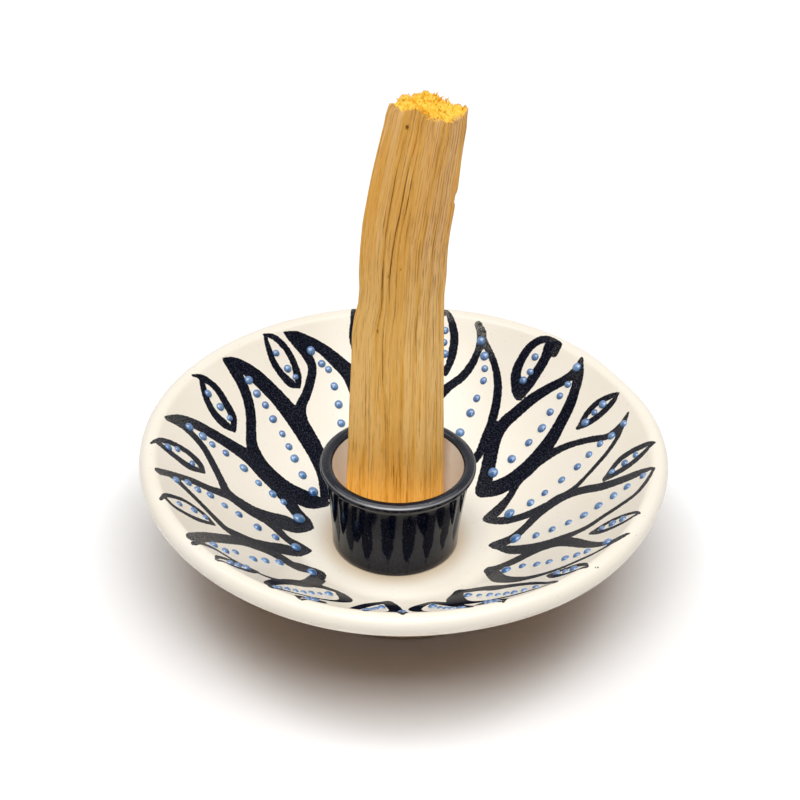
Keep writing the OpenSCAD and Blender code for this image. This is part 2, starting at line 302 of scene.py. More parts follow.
petalsByTurn = {
    0: {"plain": [(3.5, 48.0, 0.3), (0.1, 44.9, 0.6), (-1.8, 42.3, 0.6), (-2.9, 39.8, 0.6), (-3.9, 37.3, 0.6),
                  (-4.7, 34.9, 0.8), (-4.8, 32.2, 1.2), (-4.1, 29.1, 1.3), (-3.0, 26.2, 1.1), (-1.5, 23.2, 0.95),
                  (0.4, 20.5, 1.1), (1.6, 18.2, 1.0)],
        "curled": [(3.5, 48.0, 0.3), (1.8, 45.9, 0.95), (2.0, 43.3, 0.85), (4.3, 40.9, 0.85), (6.3, 38.5, 0.85),
                   (7.6, 36.0, 1.0), (8.1, 33.2, 1.1), (7.8, 30.3, 0.95), (6.6, 27.0, 0.8), (4.8, 24.4, 0.9),
                   (3.3, 21.4, 1.3), (1.8, 18.3, 0.9)],
        "dots": [(1.7, 46.5), (1.2, 43.9), (1.5, 41.7), (1.1, 39.3), (0.3, 36.7), (0, 33.4), (-0.2, 29.9),
                 (-0.2, 27.0), (0.6, 22.9)]},
    1: {"plain": [(2.7, 49.3, 0.4), (0.7, 46.9, 1.1), (-0.9, 44.5, 1.2), (-2.2, 42.0, 1.4), (-3.1, 39.2, 1.5),
                  (-3.9, 36.4, 1.7), (-4.2, 33.3, 1.9), (-4.0, 30.0, 2.0), (-2.9, 26.7, 1.9), (-1.4, 24.3, 1.9),
                  (0.9, 22.3, 1.8)],
        "curled": [(2.7, 49.3, 0.4), (1.9, 47.1, 1.1), (3.0, 44.8, 1.1), (4.8, 42.4, 1.2), (6.3, 39.8, 1.35),
                   (7.3, 36.6, 1.45), (7.9, 33.8, 1.5), (7.2, 31.1, 1.45), (5.2, 28.0, 1.5), (3.3, 25.4, 1.6),
                   (1.3, 22.5, 1.7)],
        "dots": [(2.2, 47.7), (1.5, 44.7), (1.4, 42.5), (0.7, 39.5), (-0.1, 36.6), (0.1, 33.4), (0.8, 29.5),
                 (2.0, 25.8)]},
    2: {"plain": [(5.3, 48.5, 0.7), (3.2, 46.2, 0.75), (0.8, 44.3, 0.75), (-1.5, 42.1, 0.8), (-3.3, 39.4, 0.95),
                  (-4.3, 36.5, 1.0), (-4.8, 33.4, 1.0), (-4.8, 30.9, 1.0), (-4.6, 27.0, 0.95), (-2, 23, 1.0),
                  (1.8, 19.4, 0.8)],
        "curled": [(5.6, 48.6, 0.7), (4.0, 47.0, 1.0), (3.6, 44.6, 0.8), (3.9, 41.8, 0.9), (5.0, 39.4, 1.0),
                   (7.3, 36.9, 1.1), (8.6, 34, 1.3), (8.4, 30, 1.4), (6.4, 26, 1.4), (4.2, 22.6, 1.3),
                   (2.2, 19.2, 0.7)],
        "dots": [(3.6, 46.0), (1.8, 43.7), (0.9, 41.7), (0.2, 39.7), (0.3, 36.5), (0.3, 33.8), (0.9, 30.0),
                 (1.3, 26.8), (2.0, 23.2)]},
    4: {"plain": [(7.1, 48.7, 0.2), (4.4, 47.5, 1.1), (0.3, 44.9, 1.25), (-2.4, 42.1, 1.6), (-4.3, 39.4, 1.8),
                  (-4.9, 35.5, 1.9), (-4.6, 31.5, 1.8), (-3.4, 27.5, 1.7), (-1, 23.5, 1.5), (2, 19.4, 0.8)],
        "curled": [(7.1, 48.7, 0.2), (5.1, 46.8, 1.1), (3.65, 44.4, 1.1), (3.2, 42.0, 1.0), (4.4, 40.0, 1.05),
                   (6.2, 38.0, 1.1), (8.4, 36.2, 1.3), (9.15, 33.7, 1.5), (8.75, 30.1, 1.65), (8.1, 27.2, 1.6),
                   (5, 23, 1.5), (2.4, 19.4, 0.8)],
        "dots": [(2.4, 44.7), (0.9, 42.2), (-0.1, 41.0), (-0.2, 38.0), (0, 34.8), (0.7, 31.5), (1.2, 28.3),
                 (2.0, 25.2), (2.4, 22.4)]},
    5: {"plain": [(1.8, 48.8, 0.3), (-0.5, 47.2, 1.2), (-2.55, 44.2, 1.75), (-3.85, 40.5, 1.85), (-4.5, 37.2, 2.0),
                  (-4.7, 33.6, 2.2), (-4.3, 30.0, 2.1), (-3.7, 27.4, 1.9), (-2.0, 24.2, 1.25), (0.2, 21.2, 1.2),
                  (2.6, 19.4, 0.7)],
        "curled": [(1.8, 48.8, 0.3), (1.0, 46.6, 1.25), (1.3, 43.8, 1.25), (2.3, 41.2, 1.25), (4.0, 38.9, 1.25),
                   (6.3, 36.9, 1.3), (8.5, 34.9, 1.6), (9.7, 31.7, 2.1), (9.1, 28.5, 2.1), (7.5, 25.2, 2.0),
                   (5.0, 22.0, 2.0), (2.7, 19.4, 1.3)],
        "dots": [(-0.6, 43.9), (-0.6, 41.4), (-0.6, 39.1), (-0.3, 36.5), (0.1, 33.6), (0.5, 31.2), (1.2, 29.0),
                 (2.1, 25.9), (2.6, 22.5)]},
    6: {"plain": [(4.0, 48.8, 0.5), (1.1, 46.7, 1.1), (-0.9, 44.1, 1.3), (-2.2, 40.9, 1.4), (-3.2, 37.5, 1.55),
                  (-3.8, 34.0, 1.9), (-3.3, 30.8, 2.2), (-2.6, 27.7, 2.2), (-1.1, 24.9, 1.8), (0.3, 22.5, 1.6),
                  (1.4, 20.2, 1.3), (2.8, 18.5, 0.5)],
        "curled": [(4.1, 48.7, 0.5), (2.3, 46.4, 1.0), (2.2, 43.8, 0.95), (3.0, 41.2, 1.0), (5.0, 38.9, 1.1),
                   (7.4, 36.8, 1.2), (9.7, 35.0, 1.5), (9.85, 32.3, 1.65), (9.0, 29.2, 1.8), (7.2, 26.1, 1.9),
                   (4.8, 22.6, 2.0), (2.9, 18.6, 0.7)],
        "dots": [(1.2, 44.9), (0.5, 42.3), (0.4, 40.3), (-0.3, 37.7), (-0.3, 33.9), (0.3, 30.5), (0.3, 27.5),
                 (0.2, 25.2), (1.6, 21.5)]},
    7: {"plain": [(1.5, 48.7, 1.0), (-0.75, 45.4, 0.95), (-2.45, 41.9, 1.0), (-3.2, 38.4, 1.05), (-4.2, 35.0, 1.35),
                  (-3.7, 31.4, 1.55), (-3.1, 28.3, 1.6), (-1.6, 25.6, 1.45), (0.4, 23.4, 1.3), (1.4, 21.3, 1.5),
                  (2.4, 19.1, 0.5)],
        "curled": [(0.5, 47.6, 0.7), (0.3, 45.6, 1.0), (1.3, 44.0, 0.9), (2.9, 41.9, 0.85), (4.6, 40.1, 0.9),
                   (6.7, 38.4, 1.1), (8.7, 36.7, 1.4), (8.7, 34.2, 1.6), (8.1, 30.9, 1.6), (6.4, 27.3, 1.65),
                   (4.3, 23.3, 1.7), (2.5, 19.2, 0.6)],
        "dots": [(0.8, 45.3), (-0.9, 42.9), (-0.5, 41.0), (-1.0, 38.5), (-0.2, 35.7), (0.3, 32.9), (1.4, 29.3),
                 (1.9, 25.8), (2.3, 21.8)]},
    8: {"plain": [(1.2, 48.8, 1.6), (-2.3, 43.6, 1.7), (-4.3, 39.1, 1.7), (-5.55, 35.2, 1.6), (-5.4, 31.9, 1.65),
                  (-4.7, 28.8, 1.9), (-2.8, 26.7, 1.9), (-0.7, 24.8, 1.9), (-0.6, 22.6, 1.8), (1.0, 20.8, 1.6),
                  (2.4, 21.0, 1.0)],
        "curled": [(3.3, 49.8, 0.8), (2.8, 47.1, 0.9), (3.2, 45.2, 0.8), (5.4, 43.6, 0.8), (8.0, 41.6, 0.9),
                   (9.9, 39.9, 0.9), (10.6, 37.4, 1.05), (10.1, 34.4, 1.3), (9.0, 30.8, 1.5), (6.7, 26.6, 1.6),
                   (3.2, 22.3, 1.6)],
        "dots": [(1.05, 44.4), (2.05, 42.4), (0.5, 39.3), (1.2, 35.7), (0.3, 32.4), (-0.7, 28.6), (0.7, 21.9)]},
    9: {"plain": [(2.6, 49, 0.4), (0.4, 46.5, 1.0), (-1.6, 43, 1.15), (-3.0, 39.5, 1.25), (-3.8, 35.5, 1.35),
                  (-4.0, 31.5, 1.5), (-3.4, 28, 1.5), (-2.4, 25.5, 1.4), (-0.6, 23.9, 1.4), (1.0, 23.6, 1.1)],
        "curled": [(3.2, 49, 0.4), (2.4, 46.5, 1.0), (2.8, 44, 0.8), (3.9, 41.2, 0.7), (5.2, 38.6, 0.8),
                   (6.2, 36, 0.9), (6.7, 33, 1.0), (6.2, 30, 1.2), (4.5, 27.0, 1.4), (2.7, 25.0, 1.4),
                   (1.2, 23.6, 1.1)],
        "dots": [(2.0, 46.5), (1.2, 44), (1.2, 41.4), (1.4, 39.1), (1.6, 36.8), (1.7, 34.2), (1.8, 31.6),
                 (1.8, 28.6)]},
    10: {"plain": [(2.6, 49, 0.4), (0.8, 47, 0.9), (-0.4, 43, 1.0), (-1.0, 38, 1.05), (-1.1, 33, 1.1),
                   (-0.8, 28.4, 1.1), (0.2, 24.6, 1.1), (1.3, 22, 1.0), (1.8, 21.4, 0.8)],
         "curled": [(3.2, 49, 0.4), (4.4, 45.5, 1.0), (5.6, 42, 1.1), (6.0, 38, 1.2), (5.6, 34, 1.3),
                    (4.6, 30, 1.4), (3.3, 26, 1.4), (2.2, 22.8, 1.2), (1.8, 21.4, 0.8)],
         "dots": [(2.4, 46.5), (2.2, 44), (2.0, 41.6), (1.7, 38.9), (1.6, 36.2), (1.7, 33.5), (2.2, 30.8)]},
    11: {"plain": [(2.6, 49, 0.4), (-1.0, 47, 1.0), (-3.4, 43, 1.1), (-4.4, 38, 1.2), (-4.1, 33, 1.3),
                   (-2.8, 28.6, 1.3), (-0.9, 25.4, 1.2), (1.0, 23.2, 0.9)],
         "curled": [(3.2, 49, 0.4), (3.6, 47, 0.9), (4.0, 43, 1.0), (4.0, 38, 1.1), (3.6, 33, 1.2),
                    (3.0, 29, 1.2), (2.2, 25.8, 1.1), (1.2, 23.2, 0.9)],
         "dots": [(2.2, 46.3), (2.4, 44.2), (2.2, 42.0), (1.6, 39.6), (1.0, 37.0), (0.5, 34.0), (0.0, 30.2)]},
    12: {"plain": [(2.6, 49, 0.4), (0.2, 46.5, 1.0), (-2.0, 44, 1.15), (-4.2, 41, 1.25), (-5.8, 37.3, 1.35),
                   (-6.4, 34, 1.6), (-6.0, 30.5, 1.9), (-4.2, 26.6, 1.8), (-2.1, 23.2, 1.6), (0.2, 21.0, 1.1)],
         "curled": [(3.2, 49, 0.4), (3.5, 46.5, 0.9), (4.0, 44, 0.6), (4.6, 41.2, 0.7), (4.9, 38.6, 0.8),
                    (4.8, 36, 0.9), (4.3, 33, 1.1), (3.4, 30, 1.4), (3.0, 26.3, 1.3), (1.7, 23.0, 1.3),
                    (0.4, 21.0, 1.0)],
         "dots": [(1.8, 44.4), (0.6, 42.3), (-0.4, 40.4), (-0.7, 38.2), (-0.9, 35.8), (-0.7, 32.8), (-0.9, 29.6),
                  (-1.2, 26.1)]},
    13: {"plain": [(3.0, 50.4, 0.2), (-0.9, 48.6, 0.7), (-3.2, 46.2, 0.8), (-4.4, 43.6, 0.9), (-5.6, 41.2, 0.9),
                   (-6.4, 38.4, 1.0), (-6.6, 35.2, 1.1), (-6.1, 31.8, 1.25), (-3.6, 26.0, 1.4), (0.1, 21.7, 1.4)],
         "curled": [(3.0, 50.4, 0.2), (0.6, 48.8, 0.7), (0.4, 46.2, 0.9), (2.5, 42.0, 1.1), (5.6, 37.2, 1.4),
                    (7.3, 33.7, 1.6), (7.1, 30.4, 1.6), (5.7, 27.6, 1.5), (3.8, 25.1, 1.55), (2.4, 22.9, 1.5),
                    (1.0, 20.7, 1.4)],
         "dots": [(0.5, 46.9), (-0.7, 43.3), (-0.9, 41.2), (-0.7, 38.6), (-0.4, 34.8), (-0.1, 31.9), (0.7, 28.2),
                  (0.1, 24.8)]},
    14: {"plain": [(3.4, 49.7, 0.25), (-0.6, 48.2, 0.75), (-2.7, 46.6, 0.75), (-3.8, 43.8, 0.8), (-4.6, 41.1, 0.85),
                   (-5.6, 38.8, 0.95), (-5.8, 36.3, 1.0), (-5.5, 33.7, 1.3), (-5.2, 30.7, 1.6), (-4.1, 27.4, 1.55),
                   (-2.2, 23.8, 1.35), (0.2, 20.3, 0.95), (0.7, 18.1, 0.7)],
         "curled": [(3.4, 49.7, 0.3), (4.4, 46.4, 1.1), (5.3, 43.0, 1.2), (6.4, 39.7, 1.2), (7.9, 36.8, 1.15),
                    (8.7, 34.3, 1.2), (8.7, 31.4, 1.4), (7.1, 28.0, 1.3), (4.6, 25.2, 1.1), (2.6, 22.7, 1.4),
                    (1.7, 20.1, 1.2), (0.7, 18.1, 0.7)],
         "dots": [(2.5, 47.6), (1.7, 44.7), (1.2, 42.2), (0.3, 39.4), (-0.4, 36.7), (-0.4, 33.7), (-0.2, 30.5),
                  (0.1, 27.3), (1.8, 23.1)]},
}

# small leaves between the petal tips, in the same measure about the middle between two petals.
# The common one is for those low on the front wall
commonLeaf = {
    "plain": [(-0.2, 49.7, 0.3), (-1.5, 47.8, 0.75), (-2.0, 45.3, 0.85), (-1.5, 42.6, 0.9), (0.2, 40.0, 0.6)],
    "curled": [(0.2, 49.7, 0.3), (1.3, 47.6, 0.75), (2.0, 45.2, 0.85), (1.6, 42.6, 0.9), (0.3, 40.0, 0.6)],
    "dots": [(0.1, 46.4), (0, 44.4), (0, 42.3)],
}

leavesByTurn = {
    0: {"plain": [(-0.6, 48.8, 0.3), (-1.1, 47.0, 0.75), (-1.05, 44.6, 0.8), (-0.3, 42.2, 0.75), (0.8, 40.5, 0.55)],
        "curled": [(-0.6, 48.8, 0.3), (0.8, 47.1, 0.75), (1.9, 45.1, 0.75), (1.8, 43.0, 0.75), (0.7, 40.6, 0.6)],
        "dots": [(0.45, 45.8), (0.5, 44.0), (0.4, 41.9)]},
    1: {"plain": [(-2.0, 47.9, 0.95), (-1.6, 49.3, 1.1), (-0.3, 48.6, 1.2), (-0.7, 46.7, 1.15), (-0.6, 44.2, 1.15),
                  (-0.3, 41.6, 1.15), (0.1, 39.2, 0.85)],
        "curled": [(-0.5, 49.7, 0.85), (1.5, 49.4, 0.9), (3.5, 47.6, 0.95), (4.0, 45.0, 1.0), (3.5, 42.5, 1.1),
                   (1.5, 40.2, 1.25), (0.4, 39.1, 0.8)],
        "dots": [(1.4, 46.1), (0.8, 43.6), (1.3, 41.9)]},
    2: {"plain": [(2.8, 50.6, 0.35), (0.9, 48.0, 0.8), (-0.2, 45.5, 0.9), (-0.3, 42.4, 0.9), (0.2, 39.5, 0.5)],
        "curled": [(3.0, 50.6, 0.3), (3.8, 48.0, 0.75), (3.9, 45.4, 0.85), (3.0, 42.5, 0.9), (0.6, 39.6, 0.5)],
        "dots": [(2.1, 46.8), (1.8, 44.8), (1.2, 42.9)]},
    3: {"plain": [(0.8, 50.6, 0.3), (-1.2, 47.8, 0.75), (-1.7, 45.3, 0.85), (-1.3, 42.6, 0.9), (0.2, 40.0, 0.6)],
        "curled": [(1.3, 50.9, 0.5), (1.7, 48.4, 0.75), (2.3, 45.6, 0.85), (1.7, 42.7, 0.9), (0.3, 40.0, 0.6)],
        "dots": [(0.3, 46.4), (0.2, 44.4), (0.1, 42.3)]},
    4: {"plain": [(0.9, 49.5, 0.3), (-1.15, 48.3, 0.7), (-2.4, 46.1, 0.75), (-2.6, 43.5, 0.75), (-2.05, 41.2, 0.85),
                  (-1.2, 39.5, 0.4)],
        "curled": [(0.8, 49.4, 0.3), (1.25, 47.2, 0.65), (1.55, 44.8, 0.75), (1.1, 42.6, 0.8), (0.1, 40.6, 0.95),
                   (-1.1, 39.6, 0.4)],
        "dots": [(0.1, 46.0), (-0.7, 43.0), (-1.5, 41.3)]},
    5: {"plain": [(0, 49.6, 0.3), (-1.75, 48.0, 0.75), (-2.5, 45.6, 0.85), (-1.8, 43.0, 0.9), (-0.8, 40.7, 0.95),
                  (1.4, 38.9, 0.5)],
        "curled": [(-1.3, 48.6, 0.45), (0.2, 46.9, 0.8), (1.7, 45.0, 0.85), (2.5, 42.8, 0.95), (2.3, 40.8, 1.1),
                   (1.5, 38.9, 0.5)],
        "dots": [(0.2, 45.9), (0, 43.1), (0.2, 40.8)]},
    6: {"plain": [(3.5, 50.2, 0.3), (0.5, 48.0, 0.7), (-1.0, 45.5, 0.75), (-1.3, 43.1, 0.85), (-0.5, 41.1, 0.95),
                  (1.0, 40.0, 0.5)],
        "curled": [(2.5, 49.1, 0.6), (2.5, 47.1, 0.85), (2.6, 45.1, 0.9), (2.5, 42.9, 1.0), (1.0, 40.0, 0.5)],
        "dots": [(1.5, 47.0), (0.2, 45.4), (0.9, 42.3)]},
    7: {"plain": [(-0.2, 50.0, 0.4), (-2.5, 48.0, 0.65), (-3.8, 44.8, 0.65), (-3.2, 42.5, 0.65), (-1.8, 40.6, 0.75),
                  (0.2, 39.5, 0.45)],
        "curled": [(-1.5, 49.0, 0.55), (0.75, 47.9, 0.7), (1.35, 45.9, 0.75), (1.45, 43.3, 0.8), (0.2, 39.5, 0.5)],
        "dots": [(-1.25, 46.0), (-1.6, 43.0), (-1.0, 40.9)]},
    13: {"plain": [(-1.1, 49.7, 0.3), (-2.2, 47.8, 0.6), (-2.6, 45.3, 0.65), (-2.2, 42.6, 0.7), (-0.8, 40.0, 0.5)],
         "curled": [(-0.9, 49.7, 0.3), (0.2, 47.6, 0.5), (0.8, 45.2, 0.6), (0.5, 42.6, 0.7), (-0.7, 40.0, 0.5)],
         "dots": [(-0.8, 46.4), (-0.9, 44.4), (-0.9, 42.3)]},
    14: {"plain": [(1.3, 50.0, 0.3), (-0.1, 47.7, 0.75), (-0.8, 45.3, 0.85), (-0.65, 42.7, 0.85), (-0.2, 40.4, 0.6)],
         "curled": [(1.4, 50.0, 0.3), (2.15, 47.8, 0.75), (2.8, 45.4, 0.8), (2.4, 43.2, 0.8), (0, 40.4, 0.6)],
         "dots": [(0.8, 46.4), (0.6, 44.3), (0.5, 41.9)]},
}


def petalTurn(i):
    n = petalLook["count"]
    return petalLook["first"] + 360 / n * i + petalLook["drift"][i % n]


def leafTurn(i):
    return (petalTurn(i) + petalTurn(i + 1)) / 2


def smoothPath(knots, count):
    # curve through the knots (Catmull-Rom)
    k = np.array(knots, float)
    k = np.vstack([2 * k[0] - k[1], k, 2 * k[-1] - k[-2]])
    t = np.linspace(0, len(k) - 3 - 1e-9, count)
    i = t.astype(int)
    f = (t - i)[:, None]
    a, b, c, d = k[i], k[i + 1], k[i + 2], k[i + 3]
    return 0.5 * (2 * b + (c - a) * f + (2 * a - 5 * b + 4 * c - d) * f ** 2
                  + (3 * b - a - 3 * c + d) * f ** 3)


def brushStroke(canvas, turn, knots, tipDry, allDry, endDry):
    # lays one stroke: how far inside it each surface point is, in mm, and how dry the brush was there
    path = smoothPath(knots, petalLook["strokePoints"])
    share = np.linspace(0, 1, len(path))
    atTip = np.clip(1 - share / petalLook["tipPart"], 0, 1)
    atEnd = np.clip((share - petalLook["endFrom"]) / petalLook["endPart"], 0, 1)
    dry = tipDry * atTip + allDry + endDry * atEnd
    px, run = path[:, 0], np.interp(path[:, 1], bowlR, bowlRun)
    half = np.maximum(path[:, 2], petalLook["thinnest"])
    away = np.angle(np.exp(1j * (canvas["turn"] - math.radians(turn))))
    near = np.where((np.abs(away) < math.radians(petalLook["strokeReach"])) & canvas["inside"])[0]
    across = away[near] * canvas["out"][near]
    along = canvas["run"][near]
    depth = half - np.hypot(across[:, None] - px, along[:, None] - run)
    best = depth.argmax(1)
    deep = depth[np.arange(len(near)), best]
    better = deep > canvas["ink"][near]
    canvas["ink"][near[better]] = deep[better]
    canvas["dry"][near[better]] = np.clip(dry[best[better]], 0, petalLook["driest"])


def paintDish(look):
    out = np.hypot(dishTrue[:, 0], dishTrue[:, 1])
    gap = np.interp(out, bowlR, bowlZ) - dishTrue[:, 2]
    back = dishTrue[:, 1] + petalLook["forward"] + petalLook["forwardTurn"] * dishTrue[:, 0]
    paintOut = np.hypot(dishTrue[:, 0], back)
    tanUnder = np.clip((gap - look["tanBelow"]) / look["tanFade"], 0, 1)
    tanInward = np.clip((look["tanOut"] - out) / look["tanOutFade"], 0, 1)
    edgeAway = dishTrue[:, 2] - dishHeight + look["lipEdgeDrop"]
    canvas = {
        "turn": np.arctan2(back, dishTrue[:, 0]),
        "out": paintOut,
        "run": np.interp(paintOut, bowlR, bowlRun),
        "inside": (np.abs(gap) < petalLook["slack"]) & (out < bowlR[-1] - petalLook["brim"]),
        "ink": np.full(len(out), petalLook["noInk"]),
        "dry": np.zeros(len(out)),
        "under": tanUnder * tanInward,
        "edge": np.exp(-(edgeAway / look["lipEdgeWidth"]) ** 2) * (out > dishRadius - look["lipEdgeInset"]),
    }
    rng = np.random.RandomState(petalLook["seed"])
    for i in range(petalLook["count"]):
        dryness = (petalLook["tipDry"][i], petalLook["allDry"][i], petalLook["endDry"][i])
        for common, special, turn in ((commonPetal, petalsByTurn, petalTurn(i)),
                                      (commonLeaf, leavesByTurn, leafTurn(i))):
            for side in ("plain", "curled"):
                knots = np.array(special.get(i, common)[side], float)
                if i not in special:
                    knots[:, :2] += rng.uniform(-1, 1, (len(knots), 2)) * petalLook["unevenness"]
                brushStroke(canvas, turn, knots, *dryness)
    brushStroke(canvas, petalLook["speckTurn"], petalLook["speck"], 0, 0, 0)
    return canvas


canvas = paintDish(dishLook)
paintValue(dish, "inkDepth", canvas["ink"])
paintValue(dish, "inkDry", canvas["dry"])
paintValue(dish, "underside", canvas["under"])
paintValue(dish, "lipEdge", canvas["edge"])
print("petals painted")


# dots: one dome is modelled and copied along the petals and leaves

dotLook = {
    "size": 1.8,
    "bigSize": 2.45,
    "leafSize": 1.62,
    "smaller": {9: 0.76, 10: 0.76, 11: 0.76, 12: 0.8},  # petals low on the front wall
    "petalSizes": (0.88, 1.1),
    "leafSizes": (0.85, 1.15),
    "lengths": (0.95, 1.12),
    "widths": (0.92, 1.04),
    "twist": 0.3,
    "stray": 0.15,
    "rise": 0.37,
    "sink": 0.12,
    "cut": 0.1,
    "segments": 16,
    "rings": 10,
    "slopeStep": 0.3,
    "seed": 5,
}


def bowlSpot(turnDegrees, radius):
    # point on the thrown surface, and its outward slope direction
    x, y = radius * math.cos(math.radians(turnDegrees)), radius * math.sin(math.radians(turnDegrees))
    y -= petalLook["forward"] + petalLook["forwardTurn"] * x
    turn, radius = math.atan2(y, x), math.hypot(x, y)
    flat = np.array([[x, y, np.interp(radius, bowlR, bowlZ)]])
    step = dotLook["slopeStep"]
    climb = np.interp(radius + step, bowlR, bowlZ) - np.interp(radius - step, bowlR, bowlZ)
    slope = math.atan2(climb, 2 * step)
    return handThrown(flat, dishLook)[0], turn, slope


def modelDome(look):
    # a ball one mm wide, cut below its middle and stood on the cut
    freshStart()
    bpy.ops.mesh.primitive_uv_sphere_add(segments=look["segments"], ring_count=look["rings"], radius=0.5 * mm)
    dome = bpy.context.object
    bpy.ops.object.mode_set(mode="EDIT")
    bpy.ops.mesh.select_all(action="SELECT")
    bpy.ops.mesh.bisect(plane_co=(0, 0, -look["cut"] * mm), plane_no=(0, 0, 1), clear_inner=True, use_fill=True)
    bpy.ops.mesh.select_all(action="SELECT")
    bpy.ops.transform.translate(value=(0, 0, look["cut"] * mm))
    bpy.ops.mesh.normals_make_consistent(inside=False)
    bpy.ops.object.mode_set(mode="OBJECT")
    bpy.ops.object.shade_smooth_by_angle(angle=math.radians(60))
    return dome


def setDot(dome, turnDegrees, radius, size, rng):
    spot, turn, slope = bowlSpot(turnDegrees, radius)
    copy = dome.copy()
    copy.data = dome.data.copy()
    bpy.context.collection.objects.link(copy)
    long, wide = size * rng.uniform(*dotLook["lengths"]), size * rng.uniform(*dotLook["widths"])
    copy.scale = (long, wide, size * dotLook["rise"] / (0.5 + dotLook["cut"]))
    normal = Vector((-math.sin(slope) * math.cos(turn), -math.sin(slope) * math.sin(turn), math.cos(slope)))
    twist = rng.uniform(-dotLook["twist"], dotLook["twist"])
    copy.rotation_euler = Euler((0, -slope, turn + twist), "XYZ")
    copy.location = (Vector(spot) - normal * dotLook["sink"]) * mm
    return copy


def joinCopies(name, copies, body, slotName, *nodes):
    freshStart()
    for copy in copies:
        copy.select_set(True)
    bpy.context.view_layer.objects.active = copies[0]
    bpy.ops.object.transform_apply(location=True, rotation=True, scale=True)
    bpy.ops.object.join()
    piece = bpy.context.object
    piece.name = piece.data.name = name
    finishPiece(piece, body, slotName, *nodes)
    return piece


def layDots():
    rng = np.random.RandomState(dotLook["seed"])
    dome = modelDome(dotLook)
    stray = dotLook["stray"]
    inPetals, inLeaves = [], []
    for i in range(petalLook["count"]):
        row = petalsByTurn.get(i, commonPetal)["dots"]
        for k, (across, radius) in enumerate(row):
            size = dotLook["bigSize" if k == len(row) - 1 else "size"] * rng.uniform(*dotLook["petalSizes"])
            size *= dotLook["smaller"].get(i, 1.0)
            turn = petalTurn(i) + math.degrees(across / radius) + rng.uniform(-stray, stray)
            inPetals.append(setDot(dome, turn, radius, size, rng))
        for across, radius in leavesByTurn.get(i, commonLeaf)["dots"]:
            turn = leafTurn(i) + math.degrees(across / radius) + rng.uniform(-stray, stray)
            size = dotLook["leafSize"] * rng.uniform(*dotLook["leafSizes"])
            inLeaves.append(setDot(dome, turn, radius, size, rng))
    bpy.data.objects.remove(dome)
    return (joinCopies("petalDots", inPetals, "holder", "blue_slip", "petal_dots"),
            joinCopies("leafDots", inLeaves, "holder", "blue_slip", "leaf_dots"))


petalDots, leafDots = layDots()
print("dots laid:", len(petalDots.data.polygons) + len(leafDots.data.polygons), "faces")


# cup: clay body with a cream inside, and the black glaze coat over it

cupLook = {
    "height": 20.0,
    "baseRadius": 12.7,
    "flare": 1.5,
    "topRadius": 14.45,
    "mouthRadius": 13.05,
    "wellRadius": 10.6,
    "floor": 3.0,
    "rim": 1.25,
    "rimDrop": 0.25,
    "rimLine": [(0.95, -0.62), (1.18, -0.42), (1.25, -0.1), (1.2, 0.25), (1.0, 0.42), (0.8, 0.57), (0.4, 0.78),
                (0.0, 0.9), (-0.4, 0.88), (-0.8, 0.68), (-1.08, 0.36), (-1.22, 0.0)],
    "rimPoints": 40,
    "rimTuck": 0.05,
    "neckDrop": 2.1,
    "neckCurve": [(0.12, 0.5), (0.32, 0.85)],  # out and up from the top of the wall
    "baseEdge": (0.25, 0.3),
    "wellCurve": 0.8,
    # place of the painted highlight on the rim's outer edge, its width, and how it fades away from the front
    "edge": (1.0, 0.42),
    "edgeWidth": 0.17,
    "highlightBehind": 0.25,
    "highlightSpread": 38.0,
    "coat": 0.4,
    "around": 256,
    "wallFrom": 0.08,
    "wallRows": 18,
    "clayRows": 8,
    "wellRows": 14,
    "curveRows": 7,
    "wave": 0.12,
    "waves": [(1.0, 2, 0.7), (0.5, 3, 2.0)],
    "tilt": 0.9,
}

cupMiddle = (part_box("cup")[0].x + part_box("cup")[1].x) / 2 / mm


def cupLines(look):
    # closed outlines of the clay and of the coat, and the place of the painted rim highlight
    base, rim, coat = dishLook["floorHeight"], look["rim"], look["coat"]
    rimZ = base + look["height"] - rim
    wellZ = base + look["floor"]
    rimX = look["mouthRadius"] + rim - look["rimTuck"]
    mouth, well, curve = look["mouthRadius"], look["wellRadius"], look["wellCurve"]
    foot, shoulder = look["baseRadius"], look["topRadius"]
    neck = rimZ - look["neckDrop"]
    top = rimZ - look["rimDrop"]
    rimPath = smoothPath(look["rimLine"], look["rimPoints"])

    def wallLine(inset, first, rows):
        return [(foot - inset + (shoulder - foot) * t ** look["flare"], base + (neck - base) * t)
                for t in np.linspace(first, 1, rows)]

    outer = [(foot - look["baseEdge"][0], base), (foot, base + look["baseEdge"][1])]
    outer += wallLine(0, look["wallFrom"], look["wallRows"])
    outer += [(shoulder + out, neck + up) for out, up in look["neckCurve"]]
    outer += [(rimX + across, top + up) for across, up in rimPath]
    clayWall = wallLine(coat, 0, look["clayRows"])
    clayRim = [(rimX + across * (1 - coat / rim), top + up * (1 - coat / rim)) for across, up in rimPath[::2]]
    coatLine = outer + clayRim[::-1] + clayWall[::-1] + outer[:1]
    inside = [(mouth + (well - mouth) * t, top + (wellZ + curve - top) * t)
              for t in np.linspace(0, 1, look["wellRows"])]
    inside += arc((well - curve, wellZ + curve), curve, 0, -90, look["curveRows"])[1:]
    body = [(0, base)] + clayWall + clayRim + inside + [(well * 0.5, wellZ), (0, wellZ)]
    return body, coatLine, (rimX + look["edge"][0], top + look["edge"][1])


